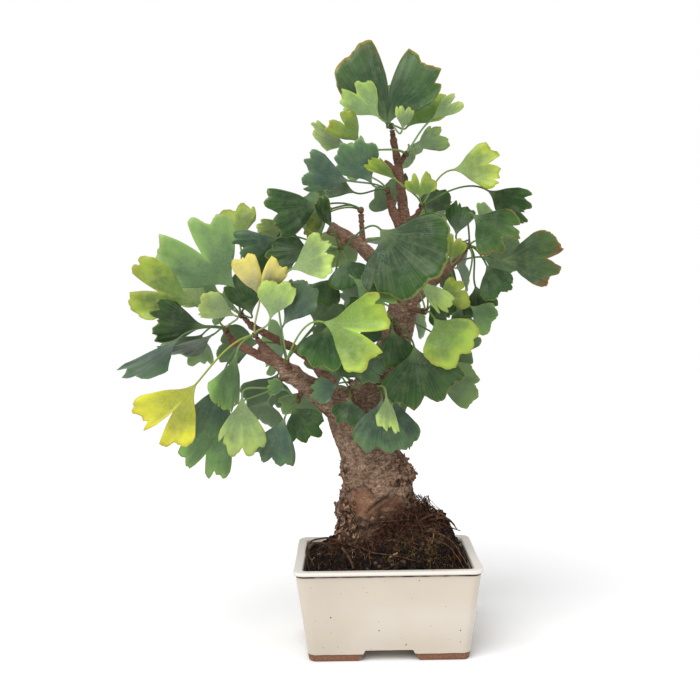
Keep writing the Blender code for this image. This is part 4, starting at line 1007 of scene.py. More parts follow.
def crumbShape():
    # an icosahedron: twelve corners on a unit ball, joined where they lie near into 20 faces
    golden = (1 + math.sqrt(5)) / 2
    rows = [(0, a, b * golden) for a in (-1, 1) for b in (-1, 1)]
    points = unit(np.array([(x, y, z) for x, y, z in rows] + [(z, x, y) for x, y, z in rows]
            + [(y, z, x) for x, y, z in rows], float))
    gap = np.linalg.norm(points[:, None] - points[None], axis=-1)
    near = (gap > 0.1) & (gap < 1.2)
    triangles = np.array([(i, j, k) for i in range(12) for j in range(i + 1, 12) for k in range(j + 1, 12)
            if near[i, j] and near[j, k] and near[i, k]])
    a, b, c = (points[triangles[:, n]] for n in range(3))
    flip = np.einsum("ij,ij->i", np.cross(b - a, c - a), a) < 0
    triangles[flip] = triangles[flip][:, ::-1]
    return points, triangles


def layOnSoil(piece):
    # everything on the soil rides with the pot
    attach(piece, "root")


def soilPiece(name, points, faces, material, smooth=True):
    # points in metres from the pot's middle
    layOnSoil(meshPiece(name, points + potCentre, faces, material, smooth=smooth))


def soilTubes(name, x, y, z, radii, sides, material):
    # tubes through points in mm from the pot's middle, one row of the arrays each
    paths = np.stack([x, y, z], -1) * mm + potCentre
    points, quads, caps = carriedTubes(paths, radii * mm, sides)
    layOnSoil(meshPiece(name, points, [quads, caps], material))


def makeCrumbs(draw):
    # rough grains strewn over the soil, and a few stones that are larger
    shape, triangles = crumbShape()
    shape = shape * (1 + 0.22 * draw.normal(size=(12, 1)))
    places = onSoil(draw, soilSpec["crumbs"], soilSpec["crumbClear"])
    sizes = draw.gamma(2.2, 0.38, (len(places), 1)) * draw.uniform(0.6, 1.3, (len(places), 3)) + 0.25
    sizes = np.minimum(sizes, soilSpec["crumbLimit"])
    inside = np.maximum(np.abs(places[:, 0]) / 53.0, np.abs(places[:, 1]) / 40.5) < 0.985
    points, faces = copiedShapes(shape, triangles, places[inside] * mm, randomTurns(draw, inside.sum()),
            sizes[inside] * mm)
    material = roughMaterial("crumbEarth", (soilSpec["crumb"], soilSpec["earthDark"]), 330.0)
    soilPiece("soilCrumbs", points, [faces], material, smooth=False)
    stones = onSoil(draw, soilSpec["stones"], soilSpec["stoneClear"])
    stones[:8] = np.stack([np.linspace(-44, 10, 8), np.full(8, -39.0) + draw.uniform(-0.5, 1, 8),
            np.zeros(8)], -1)                       # a few lie along the front edge
    stones[:, 2] = soilTop(stones[:, 0], stones[:, 1]) + 0.5
    sizes = drawn(draw, "stoneSize", len(stones)) * draw.uniform(0.7, 1.2, (len(stones), 3))
    points, faces = copiedShapes(shape, triangles, stones * mm, randomTurns(draw, len(stones)), sizes * mm)
    soilPiece("smallStones", points, [faces], roughMaterial("paleStone", soilSpec["stone"], 400.0))


def makeRoots(draw):
    # each root leaves the trunk, wanders over the soil and dips into it at its end
    count, length = soilSpec["roots"], 26
    bearing = draw.uniform(0, 2 * math.pi, count)[:, None]
    share = np.linspace(0, 1, length)[None]
    bend = draw.normal(0, 0.55, (count, 1)) * share
    bend = bend + draw.normal(0, 0.35, (count, 1)) * np.sin(7 * share + bearing)
    reach = drawn(draw, "rootReach", count) * share
    reach = reach + drawn(draw, "rootStart", count)
    angle = bearing + bend
    x, y = insideWalls(2 + reach * np.cos(angle) * 1.08, 2 + reach * np.sin(angle) * 0.86)
    arch = drawn(draw, "rootArch", count) * np.sin(math.pi * share)
    arch = arch * np.abs(np.sin(2.5 * share + bearing))
    z = soilTop(x, y) + arch - 1.6 * smoothStep(0.8, 1.0, share) + 0.15
    radii = drawn(draw, "rootRadius", count) * (1 - 0.65 * share)
    dark = draw.uniform(size=count) < 0.55
    for label, chosen, tints in (("paleRoots", ~dark, (soilSpec["root"], soilSpec["rootShade"])),
            ("darkRoots", dark, (soilSpec["rootDark"], soilSpec["earthDark"]))):
        soilTubes(label, x[chosen], y[chosen], z[chosen], radii[chosen], 6,
                  roughMaterial(label, tints, 500.0))


def makeTangle(draw):
    # short fibres that curl over the root ball: a walk whose heading turns evenly, arched over the soil
    for name, (part, tints) in soilSpec["fibres"].items():
        count, length = int(soilSpec["tangle"] * part), 7
        onClump = draw.uniform(size=count) < 0.35
        x0 = np.where(onClump, draw.normal(36, 7, count), draw.uniform(-48, 46, count))
        y0 = np.where(onClump, draw.normal(-9, 8, count), draw.uniform(-39, 34, count))
        keep = np.hypot(x0 - 1, y0 - 2) > soilSpec["fibreClear"]
        x0, y0 = x0[keep][:, None], y0[keep][:, None]
        count = len(x0)
        share = np.linspace(0, 1, length)[None]
        turn = draw.uniform(0, 2 * math.pi, (count, 1)) + draw.uniform(-2.5, 2.5, (count, 1)) * share
        step = drawn(draw, "fibreReach", count) / length
        x, y = insideWalls(x0 + np.cumsum(np.cos(turn) * step, axis=1),
                y0 + np.cumsum(np.sin(turn) * step, axis=1))
        arch = drawn(draw, "fibreArch", count) * np.sin(math.pi * share)
        radii = drawn(draw, "fibreRadius", count) * (1 - 0.5 * share)
        soilTubes(name, x, y, soilTop(x, y) + arch - 0.2, radii, 3, roughMaterial(name, tints, 420.0))


def makeTrunkFibres(draw):
    # thin roots that leave the trunk's foot all round, higher in front, and run down over the root ball
    for name, (part, tints) in soilSpec["footFibres"].items():
        count, length = int(soilSpec["trunkFibres"] * part), 8
        bearing = draw.uniform(0, 2 * math.pi, (count, 1))
        share = np.linspace(0, 1, length)[None]
        start = drawn(draw, "footStart", count)
        reach = start + drawn(draw, "footReach", count) * share ** 1.4
        angle = bearing + draw.normal(0, 0.7, (count, 1)) * share
        angle = angle + draw.normal(0, 0.2, (count, 1)) * np.sin(6 * share)
        x, y = insideWalls(1 + reach * np.cos(angle), 2 + reach * np.sin(angle))
        front = 0.5 - 0.5 * np.sin(bearing - 0.5)
        lift = draw.uniform(2, 8 + 9 * front) * (1 - share) ** 1.6 + draw.uniform(0.1, 1.2, (count, 1))
        radii = drawn(draw, "footRadius", count) * (1 - 0.5 * share)
        soilTubes(name, x, y, soilTop(x, y) + lift, radii, 3, roughMaterial(name, tints, 420.0))


def makeStraws(draw):
    # nearly straight dry stalks lying on the soil, one end a little raised
    count, length = soilSpec["straws"], 8
    start = onSoil(draw, count, soilSpec["strawClear"])
    turn = draw.uniform(0, 2 * math.pi, count)[:, None]
    share = np.linspace(0, 1, length)[None]
    reach = drawn(draw, "strawReach", count) * share
    x = np.clip(start[:, :1] + reach * np.cos(turn), -50, 50)
    y = np.clip(start[:, 1:2] + reach * np.sin(turn) + 1.2 * share ** 2, -37, 37)
    z = soilTop(x, y) + 0.9 + drawn(draw, "strawRise", count) * share
    radii = np.repeat(drawn(draw, "strawRadius", count), length, axis=1)
    material = roughMaterial("dryStraw", (soilSpec["straw"], soilSpec["strawShade"]), 300.0)
    soilTubes("dryStraws", x, y, z, radii, 6, material)


heroRoots = {   # roots that the picture shows one by one: (pixel x, pixel y, depth mm, radius mm)
    "loopLeft": [(341, 541, -24, 0.7), (326, 538, -28, 0.6), (311, 542, -33, 0.55), (306, 552, -38, 0.5),
        (309, 571, -40, 0.35)],
    "loopFar": [(334, 548, -26, 0.5), (320, 543, -30, 0.5), (309, 550, -34, 0.45), (313, 566, -39, 0.3)],
    "rightLong": [(424, 530, -27, 0.6), (443, 535, -29, 0.6), (456, 546, -34, 0.5), (468, 566, -40, 0.35)],
    "rightInner": [(428, 537, -30, 0.5), (446, 544, -33, 0.5), (458, 557, -38, 0.4), (464, 570, -41, 0.3)],
    "clumpTop": [(414, 524, -20, 0.8), (428, 516, -17, 0.9), (441, 514, -15, 0.8), (448, 520, -14, 0.4)],
    "clumpEnd": [(430, 520, -17, 0.8), (443, 518, -15, 0.9), (452, 522, -14, 0.7), (457, 529, -13, 0.3)],
    "clumpTwig": [(438, 522, -15, 0.5), (449, 526, -14, 0.45), (460, 531, -13, 0.3)],
    "frontStick": [(342, 548, -34, 0.8), (348, 557, -38, 0.8), (353, 568, -41, 0.7)],
    "frontRoot": [(356, 545, -31, 0.5), (374, 553, -36, 0.5), (396, 556, -38, 0.45), (420, 563, -41, 0.3)],
}


def makeHeroRoots():
    # tubes along smooth paths that wander by noise
    solids = []
    for knots in heroRoots.values():
        path = smoothPath([(*seenPoint(x, y, depth), radius * mm) for x, y, depth, radius in knots], 9)
        wander = np.stack([valueNoise(path[:, :3], 4 * mm, seed) for seed in (71, 72, 73)], -1)
        path[:, :3] += wander * 0.7 * mm
        points, quads, caps = carriedTubes(path[None, :, :3], path[None, :, 3], 9)
        solids.append((points, [quads, caps]))
    points, faces = joinedSolids(solids)
    material = roughMaterial("longRoots", soilSpec["longRoot"], 500.0)
    layOnSoil(meshPiece("longRoots", points, faces, material))


def makeMoss(draw):
    # little pointed leaves standing out of the soil, thickest in front on the right
    count = soilSpec["moss"]
    right = draw.uniform(size=count) < 0.6
    x = np.where(right, draw.normal(18, 12, count), draw.uniform(-40, 44, count))
    y = np.where(right, draw.normal(-28, 6, count), draw.uniform(-38, 34, count))
    keep = (np.hypot(x - 2, y - 2) > soilSpec["mossClear"]) & (np.abs(x) < 50) & (np.abs(y) < 38)
    x, y = x[keep], y[keep]
    base = np.stack([x, y, soilTop(x, y) - 0.2], -1)
    count = len(base)
    way = unit(draw.normal(0, 0.9, (count, 3)) + np.array([0, -0.3, 0.8]))
    side = unit(np.cross(way, draw.normal(size=(count, 3))))
    other = np.cross(way, side)
    tall = drawn(draw, "mossTall", count)
    wide = drawn(draw, "mossWide", count)
    angle = np.arange(3) * 2 * math.pi / 3
    ring = base[:, None] + wide[:, None] * (np.cos(angle)[None, :, None] * side[:, None]
            + np.sin(angle)[None, :, None] * other[:, None])
    belly = ring + (way * tall * 0.5)[:, None] + (ring - base[:, None]) * 0.3
    tip = (base + way * tall + side * 0.25)[:, None]
    points = np.concatenate([ring, belly, tip, base[:, None]], axis=1)
    faces = [wrapQuads(2, 3), np.array([[3, 4, 6], [4, 5, 6], [5, 3, 6]]),
             np.array([[1, 0, 7], [2, 1, 7], [0, 2, 7]])]
    shift = (np.arange(count) * 8)[:, None, None]
    faces = [(part[None] + shift).reshape(-1, part.shape[1]) for part in faces]
    material = roughMaterial("dampMoss", soilSpec["mossTints"], 200.0)
    soilPiece("mossTufts", points.reshape(-1, 3) * mm, faces, material)


makeSoilBody()
soilDraw = np.random.default_rng(soilSpec["seed"])
makeCrumbs(soilDraw)
makeRoots(soilDraw)
makeTangle(soilDraw)
makeTrunkFibres(soilDraw)
makeStraws(soilDraw)
makeHeroRoots()
makeMoss(soilDraw)
print("soil made")


# leaves seen from the front, by spur: (blade base x, y, depth, blade tip x, y, depth,
# half spread degrees, turn about the midrib degrees, notch share, colour)
leaves = [
    ("leader_top", [
        (387, 126, -4, 391, 45, -10, 51, 0, 0.55, "amber"),
        (380, 118, -12, 349, 86, -22, 36, 10, 0.30, "light"),
        (406, 128, 10, 440, 90, 12, 34, 10, 0.20, "lime"),
        (402, 130, -16, 408, 106, -18, 38, -30, 0.20, "light")]),
    ("leader_side", [
        (431, 120, 4, 458, 98, 4, 24, 0, 0.30, "light"),
        (360, 143, -14, 336, 115, -20, 36, 0, 0.25, "lime"),
        (414, 149, -2, 445, 132, 0, 32, 15, 0.20, "mid"),
        (349, 148, -4, 311, 130, -2, 42, 62, 0.10, "light")]),
    ("left_stub_top", [
        (350, 181, -16, 302, 173, -24, 34, 25, 0.10, "blue"),
        (372, 184, -10, 349, 146, -16, 40, 10, 0.15, "blue"),
        (356, 193, 0, 318, 180, 6, 30, -15, 0.10, "dark")]),
    ("right_stub_top", [
        (397, 181, -14, 370, 158, -18, 24, 40, 0.10, "lime"),
        (420, 198, -8, 421, 173, -10, 62, -20, 0.45, "lime"),
        (428, 214, 12, 440, 190, 20, 48, 10, 0.15, "dark"),
        (452, 170, 2, 502, 163, 0, 40, 25, 0.30, "lime"),
        (487, 190, 8, 528, 214, 8, 36, -10, 0.15, "dark")]),
    ("stub_twig", [
        (321, 205, -18, 269, 215, -30, 37, -10, 0.12, "dark"),
        (326, 214, -6, 302, 228, -8, 40, 20, 0.20, "olive")]),
    ("thick_stub_top", [
        (280, 237, -18, 237, 252, -22, 28, 20, 0.12, "blue"),
        (333, 230, -20, 315, 199, -22, 46, 68, 0.10, "dark"),
        (380, 229, -44, 431, 283, -58, 63, 0, 0.14, "dark"),
        (346, 258, -26, 356, 290, -32, 56, 10, 0.15, "dark"),
        (312, 250, -6, 268, 248, -2, 40, -10, 0.10, "dark"),
        (334, 276, -18, 322, 306, -20, 46, 20, 0.10, "dark"),
        (287, 224, -6, 258, 232, -4, 36, 30, 0.10, "light")]),
    ("upper_branch_tip", [
        (235, 288, -2, 176, 229, -20, 43, 0, 0.46, "sage"),
        (240, 243, 14, 231, 203, 20, 46, 20, 0.15, "lime"),
        (212, 300, 10, 176, 287, 14, 40, 20, 0.15, "light"),
        (252, 316, -2, 239, 276, -8, 40, 15, 0.10, "dark"),
        (262, 286, 14, 276, 244, 18, 44, 0, 0.10, "dark")]),
    ("cut_stub_end", [
        (195, 303, -27, 129, 284, -33, 38, 8, 0.45, "lime"),
        (207, 326, -25, 150, 325, -37, 34, 32, 0.10, "dark"),
        (179, 338, -28, 129, 385, -27, 38, 62, 0.10, "blue"),
        (214, 334, -8, 168, 361, 4, 38, 66, 0.10, "dark"),
        (236, 316, -28, 200, 302, -38, 32, 20, 0.10, "light")]),
    ("bough_tip", [
        (197, 383, -36, 150, 439, -46, 38, 0, 0.50, "gold"),
        (221, 381, -22, 204, 440, -24, 34, 25, 0.10, "blue"),
        (237, 352, -32, 224, 413, -40, 38, 60, 0.10, "mid"),
        (260, 298, -36, 263, 256, -50, 48, 0, 0.52, "cream"),
        (270, 320, -38, 279, 280, -46, 36, 0, 0.12, "light")]),
    ("bough_node", [
        (283, 326, -38, 308, 284, -44, 34, 25, 0.10, "blue"),
        (290, 270, -44, 332, 250, -56, 32, 15, 0.20, "light"),
        (323, 322, -52, 389, 341, -68, 45, 0, 0.46, "lime"),
        (327, 326, -34, 324, 367, -42, 56, 0, 0.12, "dark")]),
    ("bough_under", [
        (243, 394, -26, 243, 454, -36, 32, 0, 0.24, "light"),
        (226, 415, -8, 198, 476, -10, 34, 10, 0.30, "mid")]),
    ("fork_left", [
        (285, 417, -24, 271, 465, -32, 36, 15, 0.15, "blue"),
        (292, 406, -10, 312, 438, -14, 48, 0, 0.12, "dark"),
        (286, 390, -22, 268, 385, -26, 44, 30, 0.10, "mid")]),
    ("fork_front", [
        (350, 398, -30, 346, 424, -38, 52, 0, 0.25, "dark"),
        (338, 386, -26, 314, 393, -32, 46, 20, 0.10, "blue"),
        (362, 380, -34, 346, 354, -40, 50, 10, 0.12, "dark")]),
    ("stem_low", [
        (382, 398, -34, 376, 454, -42, 40, 0, 0.14, "blue"),
        (386, 394, -46, 390, 432, -54, 30, 40, 0.15, "light"),
        (394, 398, -24, 406, 448, -26, 28, 20, 0.10, "blue")]),
    ("stem_front", [
        (353, 278, -42, 390, 306, -50, 34, 0, 0.20, "mid"),
        (354, 350, -28, 384, 374, -36, 50, 10, 0.10, "blue"),
        (392, 328, -26, 398, 366, -30, 44, 20, 0.10, "dark"),
        (372, 310, -22, 346, 312, -24, 48, 0, 0.12, "dark"),
        (414, 346, -32, 428, 410, -42, 54, 0, 0.20, "dark"),
        (384, 340, -20, 362, 328, -22, 46, 15, 0.10, "dark")]),
    ("fork_front", [
        (340, 374, -22, 326, 352, -26, 46, 10, 0.12, "mid")]),
    ("right_low", [
        (430, 296, 6, 452, 318, 8, 46, 10, 0.12, "dark"),
        (434, 318, -34, 462, 358, -44, 54, 0, 0.18, "lime"),
        (417, 280, -18, 452, 308, -22, 30, 45, 0.10, "light"),
        (438, 298, -6, 468, 287, -2, 44, 15, 0.15, "olive")]),
    ("right_tip", [
        (472, 214, -10, 512, 244, -16, 44, 0, 0.34, "rusty"),
        (500, 260, -10, 562, 258, -14, 38, 0, 0.34, "rusty"),
        (486, 264, -4, 503, 296, -8, 42, 10, 0.15, "dark"),
        (475, 285, 12, 484, 316, 17, 44, 5, 0.12, "dark"),
        (451, 262, -10, 455, 236, -12, 42, 20, 0.12, "olive"),
        (456, 236, 16, 462, 204, 22, 36, 10, 0.10, "dark"),
        (470, 306, 2, 497, 324, 2, 40, 10, 0.12, "mid")]),
]

# leaves out of the front view, by spur: (bearing degrees, rise degrees, reach mm, length mm, colour)
backLeaves = [
    ("back_fork", [
        (100, 5, 34, 36, "dark"), (150, -15, 30, 30, "mid"), (60, -30, 32, 34, "blue"),
        (120, 40, 30, 32, "dark")]),
    ("back_stem", [
        (80, 10, 36, 38, "mid"), (30, -20, 30, 32, "dark"), (130, 25, 34, 34, "blue"),
        (95, -40, 34, 32, "dark")]),
    ("back_leader", [
        (95, 15, 30, 36, "dark"), (150, 5, 32, 32, "light"), (45, 30, 28, 30, "mid"),
        (100, 60, 30, 30, "dark")]),
    ("back_branch", [
        (70, 0, 30, 34, "blue"), (20, 15, 28, 30, "dark"), (110, 35, 28, 32, "mid"),
        (60, -40, 30, 30, "dark")]),
    ("back_bough", [
        (110, 0, 34, 36, "mid"), (165, 10, 30, 30, "dark"), (70, 30, 32, 34, "dark"),
        (130, -35, 32, 34, "blue")]),
    ("back_low", [
        (70, -10, 30, 34, "dark"), (10, -20, 26, 30, "mid"), (110, -35, 30, 32, "dark")]),
    ("leader_side", [
        (80, 20, 30, 32, "mid")]),
    ("leader_top", [
        (110, 40, 24, 32, "dark")]),
    ("right_tip", [
        (60, 15, 30, 34, "mid"), (100, -10, 26, 30, "dark")]),
    ("upper_branch_tip", [
        (110, 10, 30, 34, "dark"), (150, 40, 26, 30, "mid")]),
    ("cut_stub_end", [
        (130, -5, 30, 34, "mid")]),
    ("bough_under", [
        (110, -30, 30, 34, "dark")]),
    ("left_stub_top", [
        (120, 30, 30, 32, "mid")]),
    ("stub_twig", [
        (130, 10, 30, 32, "dark")]),
]

# moves back of a leaf's base and tip (mm) and a further turn (degrees), tried in this order to clear
# other bunches
bends = [(0, 0, 0), (0, -7, 0), (0, 7, 0), (-6, -6, 0), (6, 6, 0), (0, -14, 8), (0, 14, -8),
         (-12, -12, 0), (12, 12, 0), (-6, -18, 15), (6, 18, -15), (-18, -18, 0), (18, 18, 0),
         (-26, -26, 0), (26, 26, 0), (-12, -30, 25), (12, 30, -25), (-34, -34, 20), (34, 34, -20)]

leafSpec = {
    "seed": 7, "budRadius": 2.3, "budGap": 0.18, "across": 56, "along": 13, "bladeThick": 0.34,
    "stalkSides": 8, "stalkRings": 18, "stalkRadius": 0.62,
    # the plain leaves of the clearing rule: thickness, stalk, and when they get more columns or steps
    "plainThick": 0.62, "plainStalk": 0.85, "bigLeaf": 27.0, "longStalk": 22.0,
    "phase": (0, 6.28), "cup": (0.02, 0.22), "droop": (-0.05, 0.22), "wave": (0.02, 0.06),
    "backSag": (-0.5, 0.1), "backSpread": (42, 56), "backNotch": (0.08, 0.4),
    "tints": {
        "dark": (0.018, 0.056, 0.012), "blue": (0.056, 0.108, 0.076), "mid": (0.130, 0.230, 0.088),
        "light": (0.275, 0.400, 0.155), "lime": (0.180, 0.285, 0.055), "gold": (0.400, 0.420, 0.045),
        "olive": (0.120, 0.175, 0.030), "amber": (0.038, 0.088, 0.036), "rusty": (0.034, 0.074, 0.022),
        "cream": (0.640, 0.610, 0.270), "sage": (0.185, 0.300, 0.145)},
    "edges": {
        "dark": (0.30, 0.33, 0.08), "blue": (0.22, 0.30, 0.13), "mid": (0.32, 0.40, 0.07),
        "light": (0.50, 0.50, 0.12), "lime": (0.50, 0.47, 0.06), "gold": (0.80, 0.62, 0.06),
        "olive": (0.50, 0.36, 0.06), "amber": (0.70, 0.45, 0.06), "rusty": (0.40, 0.26, 0.07),
        "cream": (0.80, 0.55, 0.10), "sage": (0.40, 0.46, 0.14)},
    "yellowing": {"lime": 0.25, "gold": 0.55, "olive": 0.2, "light": 0.05, "cream": 0.35},
    "rust": {"amber": 0.1, "rusty": 0.5, "lime": 0.2, "gold": 0.15},
    "widened": {"amber": 1.2},
    "deep": (0.006, 0.020, 0.006), "pale": (0.36, 0.46, 0.20), "brightened": (1.95, 1.9, 0.95),
    # the pale blue-grey of the painted sheen on the blades
    "paintedSheen": (0.26, 0.36, 0.30), "golds": ((0.66, 0.56, 0.060), (0.50, 0.52, 0.060)),
    "rustTint": (0.20, 0.060, 0.025), "under": (0.22, 0.32, 0.16), "stalk": (0.17, 0.27, 0.06),
    "bud": ((0.16, 0.085, 0.035), (0.07, 0.04, 0.02)), "budBase": (0.1, 0.06, 0.03),
}


def marginShare(x, leaf):
    # the blade's length at x (-1 and 1 are its straight sides): rounded ends, a notch, two cuts, a wave
    share = 1 - 0.08 * x * x - 0.20 * np.abs(x) ** 8
    share = share - leaf["notch"] * np.clip(1 - np.abs(x) / 0.21, 0, None)
    cut = np.where(x < 0, leaf["cuts"][0], leaf["cuts"][1])
    share = share - cut * np.clip(1 - np.abs(np.abs(x) - 0.52) / 0.17, 0, None)
    return share + 0.022 * np.sin(12.5 * x + leaf["phase"])


def bladeLift(u, v, leaf):
    # height over the flat blade: cup across it, droop along the midrib and a wave round it
    wave = leaf["wave"] * (u * u + v * v) * np.sin(4.2 * np.arctan2(v, u) + leaf["phase"])
    return leaf["cup"] * v * v - leaf["droop"] * u * u + wave


def bladeFrame(leaf):
    # the midrib's way, the blade's side and its face, which is turned about the midrib away from the viewer
    midrib = leaf["tip"] - leaf["base"]
    length = midrib.length
    midrib = midrib / length
    towards = Vector(viewSpec["place"]) * mm + potMiddle - leaf["base"]
    face = (towards - midrib * towards.dot(midrib)).normalized()
    side = face.cross(midrib)
    turned = face * math.cos(leaf["turn"]) + side * math.sin(leaf["turn"])
    return midrib, turned.cross(midrib), turned, length


def stalkPath(leaf, midrib, steps):
    # a cubic curve that leaves the bud along the spur and meets the blade along its midrib
    start, end = leaf["bud"], leaf["base"]
    span = (end - start).length
    leave = (leaf["spurWay"] * 0.7 + (end - start).normalized()).normalized()
    first, last = start + leave * span * 0.33, end - midrib * span * 0.33
    t = np.linspace(0, 1, steps + 1)[:, None]
    return (np.array(start) * (1 - t) ** 3 + np.array(first) * 3 * t * (1 - t) ** 2
            + np.array(last) * 3 * t * t * (1 - t) + np.array(end) * t ** 3)


def stalkRings(path, midrib, side, radii, angles):
    # rings across the path, their frame carried back from the blade so that its face stays up
    rings = []
    ahead = Vector(midrib)
    side = Vector(side)
    for index in reversed(range(len(path))):
        if index:
            ahead = Vector(path[index] - path[index - 1]).normalized()
        side = (side - ahead * side.dot(ahead)).normalized()
        up = ahead.cross(side)
        circle = np.outer(np.cos(angles), side) + np.outer(np.sin(angles), up)
        rings.insert(0, path[index] + radii[index] * circle)
    return np.array(rings)


def budPlace(spur):
    # the bud's middle, just past the spur's tip, and the way the spur points
    root, end = (seenPoint(*place) for place in spurs[spur])
    way = (end - root).normalized()
    return end + way * (leafSpec["budRadius"] + leafSpec["budGap"]) * mm, way


def newLeaf(spur, base, tip, spread, turn, notch, colour, draw):
    # the given values, and random ones for its cuts, waves, cup and droop
    bud, way = budPlace(spur)
    leaf = {"spur": spur, "base": base, "tip": tip, "spread": math.radians(spread),
            "turn": math.radians(turn), "notch": notch, "colour": colour, "spurWay": way, "bud": bud}
    leaf["cuts"] = (draw.uniform(0.02, 0.12), draw.uniform(0.02, 0.12))
    for name in ("phase", "cup", "droop", "wave"):
        leaf[name] = draw.uniform(*leafSpec[name])
    return leaf


def allLeaves():
    # the seen leaves by their pixels, then the back ones from a bearing, a rise and a reach
    draw = random.Random(leafSpec["seed"])
    made = []
    for spur, rows in leaves:
        for *places, spread, turn, notch, colour in rows:
            made.append(newLeaf(spur, seenPoint(*places[:3]), seenPoint(*places[3:]),
                    spread, turn, notch, colour, draw))
    for spur, rows in backLeaves:
        start = seenPoint(*spurs[spur][1])
        for bearing, rise, reach, length, colour in rows:
            bearing, rise = math.radians(bearing), math.radians(rise)
            way = Vector((math.cos(bearing) * math.cos(rise), math.sin(bearing) * math.cos(rise),
                    math.sin(rise)))
            base = start + way * reach * mm
            sag = Vector((0, 0, draw.uniform(*leafSpec["backSag"])))
            tip = base + (way + sag).normalized() * length * mm
            made.append(newLeaf(spur, base, tip, draw.uniform(*leafSpec["backSpread"]),
                    draw.uniform(-40, 40) + 180, draw.uniform(*leafSpec["backNotch"]),
                    colour, draw))
    return made


def plainLeaf(leaf):
    # the leaf with few triangles, as its solid has it: two skins over two rows of points on a
    # three-sided stalk, for the clearing rule
    midrib, side, face, length = bladeFrame(leaf)
    columns = 10 if length > leafSpec["bigLeaf"] * mm else 6
    steps = 3 if (leaf["base"] - leaf["bud"]).length > leafSpec["longStalk"] * mm else 2
    path = stalkPath(leaf, midrib, steps)
    radii = np.full(len(path), leafSpec["plainStalk"] * mm)
    rings = stalkRings(path, midrib, side, radii, np.radians([90, 210, 330]))
    x = np.linspace(-1, 1, columns + 1)[None]
    share = np.array([[0.52], [1.0]])
    reach = share * marginShare(x, leaf)
    u, v = reach * np.cos(x * leaf["spread"]), reach * np.sin(x * leaf["spread"])
    step = 0.01
    slopeU = (bladeLift(u + step, v, leaf) - bladeLift(u - step, v, leaf)) / (2 * step)
    slopeV = (bladeLift(u, v + step, leaf) - bladeLift(u, v - step, leaf)) / (2 * step)
    half = leafSpec["plainThick"] * mm / 2 * np.sqrt(1 + slopeU ** 2 + slopeV ** 2)
    flat = (np.array(leaf["base"])
            + (u[..., None] * np.array(midrib) + v[..., None] * np.array(side)) * length)
    lift = bladeLift(u, v, leaf) * length
    skins = [(flat + (lift + sign * half)[..., None] * np.array(face)).reshape(-1, 3) for sign in (1, -1)]
    points = np.vstack([rings.reshape(-1, 3), *skins])
    return BVHTree.FromPolygons(points.tolist(), plainTriangles(len(path), columns))


def plainTriangles(ringCount, columns):
    # the stalk's sides and end, the fan from its last ring to the blade, both skins, the margin and
    # the two straight sides
    crown = ringCount * 3 - 3
    row, top = columns + 1, crown + 3
    bottom = top + 2 * row
    triangles = [(2, 1, 0), (crown + 1, crown + 2, bottom + columns // 2)]
    for low in range(0, crown, 3):
        for corner in range(3):
            here, after = low + corner, low + (corner + 1) % 3
            triangles += [(here, after, after + 3), (here, after + 3, here + 3)]
    for column in range(columns):
        root = crown + 1 if column < columns // 2 else crown + 2
        triangles += [(crown, top + column, top + column + 1),
                (root, bottom + column + 1, bottom + column)]
        for skin in (top, bottom):
            inner, outer = skin + column, skin + row + column
            triangles += [(inner, outer, outer + 1), (inner, outer + 1, inner + 1)]
        edge, under = top + row + column, bottom + row + column
        triangles += [(edge, under, under + 1), (edge, under + 1, edge + 1)]
    for root, column in ((crown + 1, 0), (crown + 2, columns)):
        triangles += [(crown, root, bottom + column), (crown, bottom + column, top + column),
                (top + column, bottom + column, bottom + row + column),
                (top + column, bottom + row + column, top + row + column)]
    return triangles


def budTree(spur):
    # the bud as its solid has it: two turned rings of five corners and two poles
    centre = np.array(budPlace(spur)[0])
    corner = np.arange(10)
    turn = 2 * math.pi / 5 * (corner % 5 + (corner // 5) / 2)
    points = np.stack([0.8 * np.cos(turn), 0.8 * np.sin(turn), np.where(corner < 5, -0.6, 0.6)], -1)
    points = centre + np.vstack([points, [[0, 0, -1], [0, 0, 1]]]) * leafSpec["budRadius"] * mm
    triangles = []
    for side in range(5):
        after = (side + 1) % 5
        triangles += [(10, after, side), (11, 5 + side, 5 + after), (side, after, 5 + side),
                (after, 5 + after, 5 + side)]
    return BVHTree.FromPolygons(points.tolist(), triangles)


def bendClear(leaf, placed, woodTree):
    # gives the leaf the first bend at which it cuts neither the wood nor another bunch
    base, tip, turn = leaf["base"].copy(), leaf["tip"].copy(), leaf["turn"]
    others = [woodTree] + [other for spur, other in placed if spur != leaf["spur"]]
    for baseBack, tipBack, moreTurn in bends:
        leaf["base"] = base + Vector((0, baseBack * mm, 0))
        leaf["tip"] = tip + Vector((0, tipBack * mm, 0))
        leaf["turn"] = turn + math.radians(moreTurn)
        tree = plainLeaf(leaf)
        if not any(tree.overlap(other) for other in others):
            return tree
    return None


def placedLeaves():
    # the leaves of each spur, clear of the other spurs' buds and leaves
    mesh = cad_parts["wood"].data
    mesh.calc_loop_triangles()
    woodTree = BVHTree.FromPolygons([vertex.co.copy() for vertex in mesh.vertices],
            [tuple(part.vertices) for part in mesh.loop_triangles])
    placed = [(spur, budTree(spur)) for spur in spurs]
    bunches = {spur: [] for spur in spurs}
    for leaf in allLeaves():
        tree = bendClear(leaf, placed, woodTree)
        if tree is not None:
            placed.append((leaf["spur"], tree))
            bunches[leaf["spur"]].append(leaf)
    return bunches


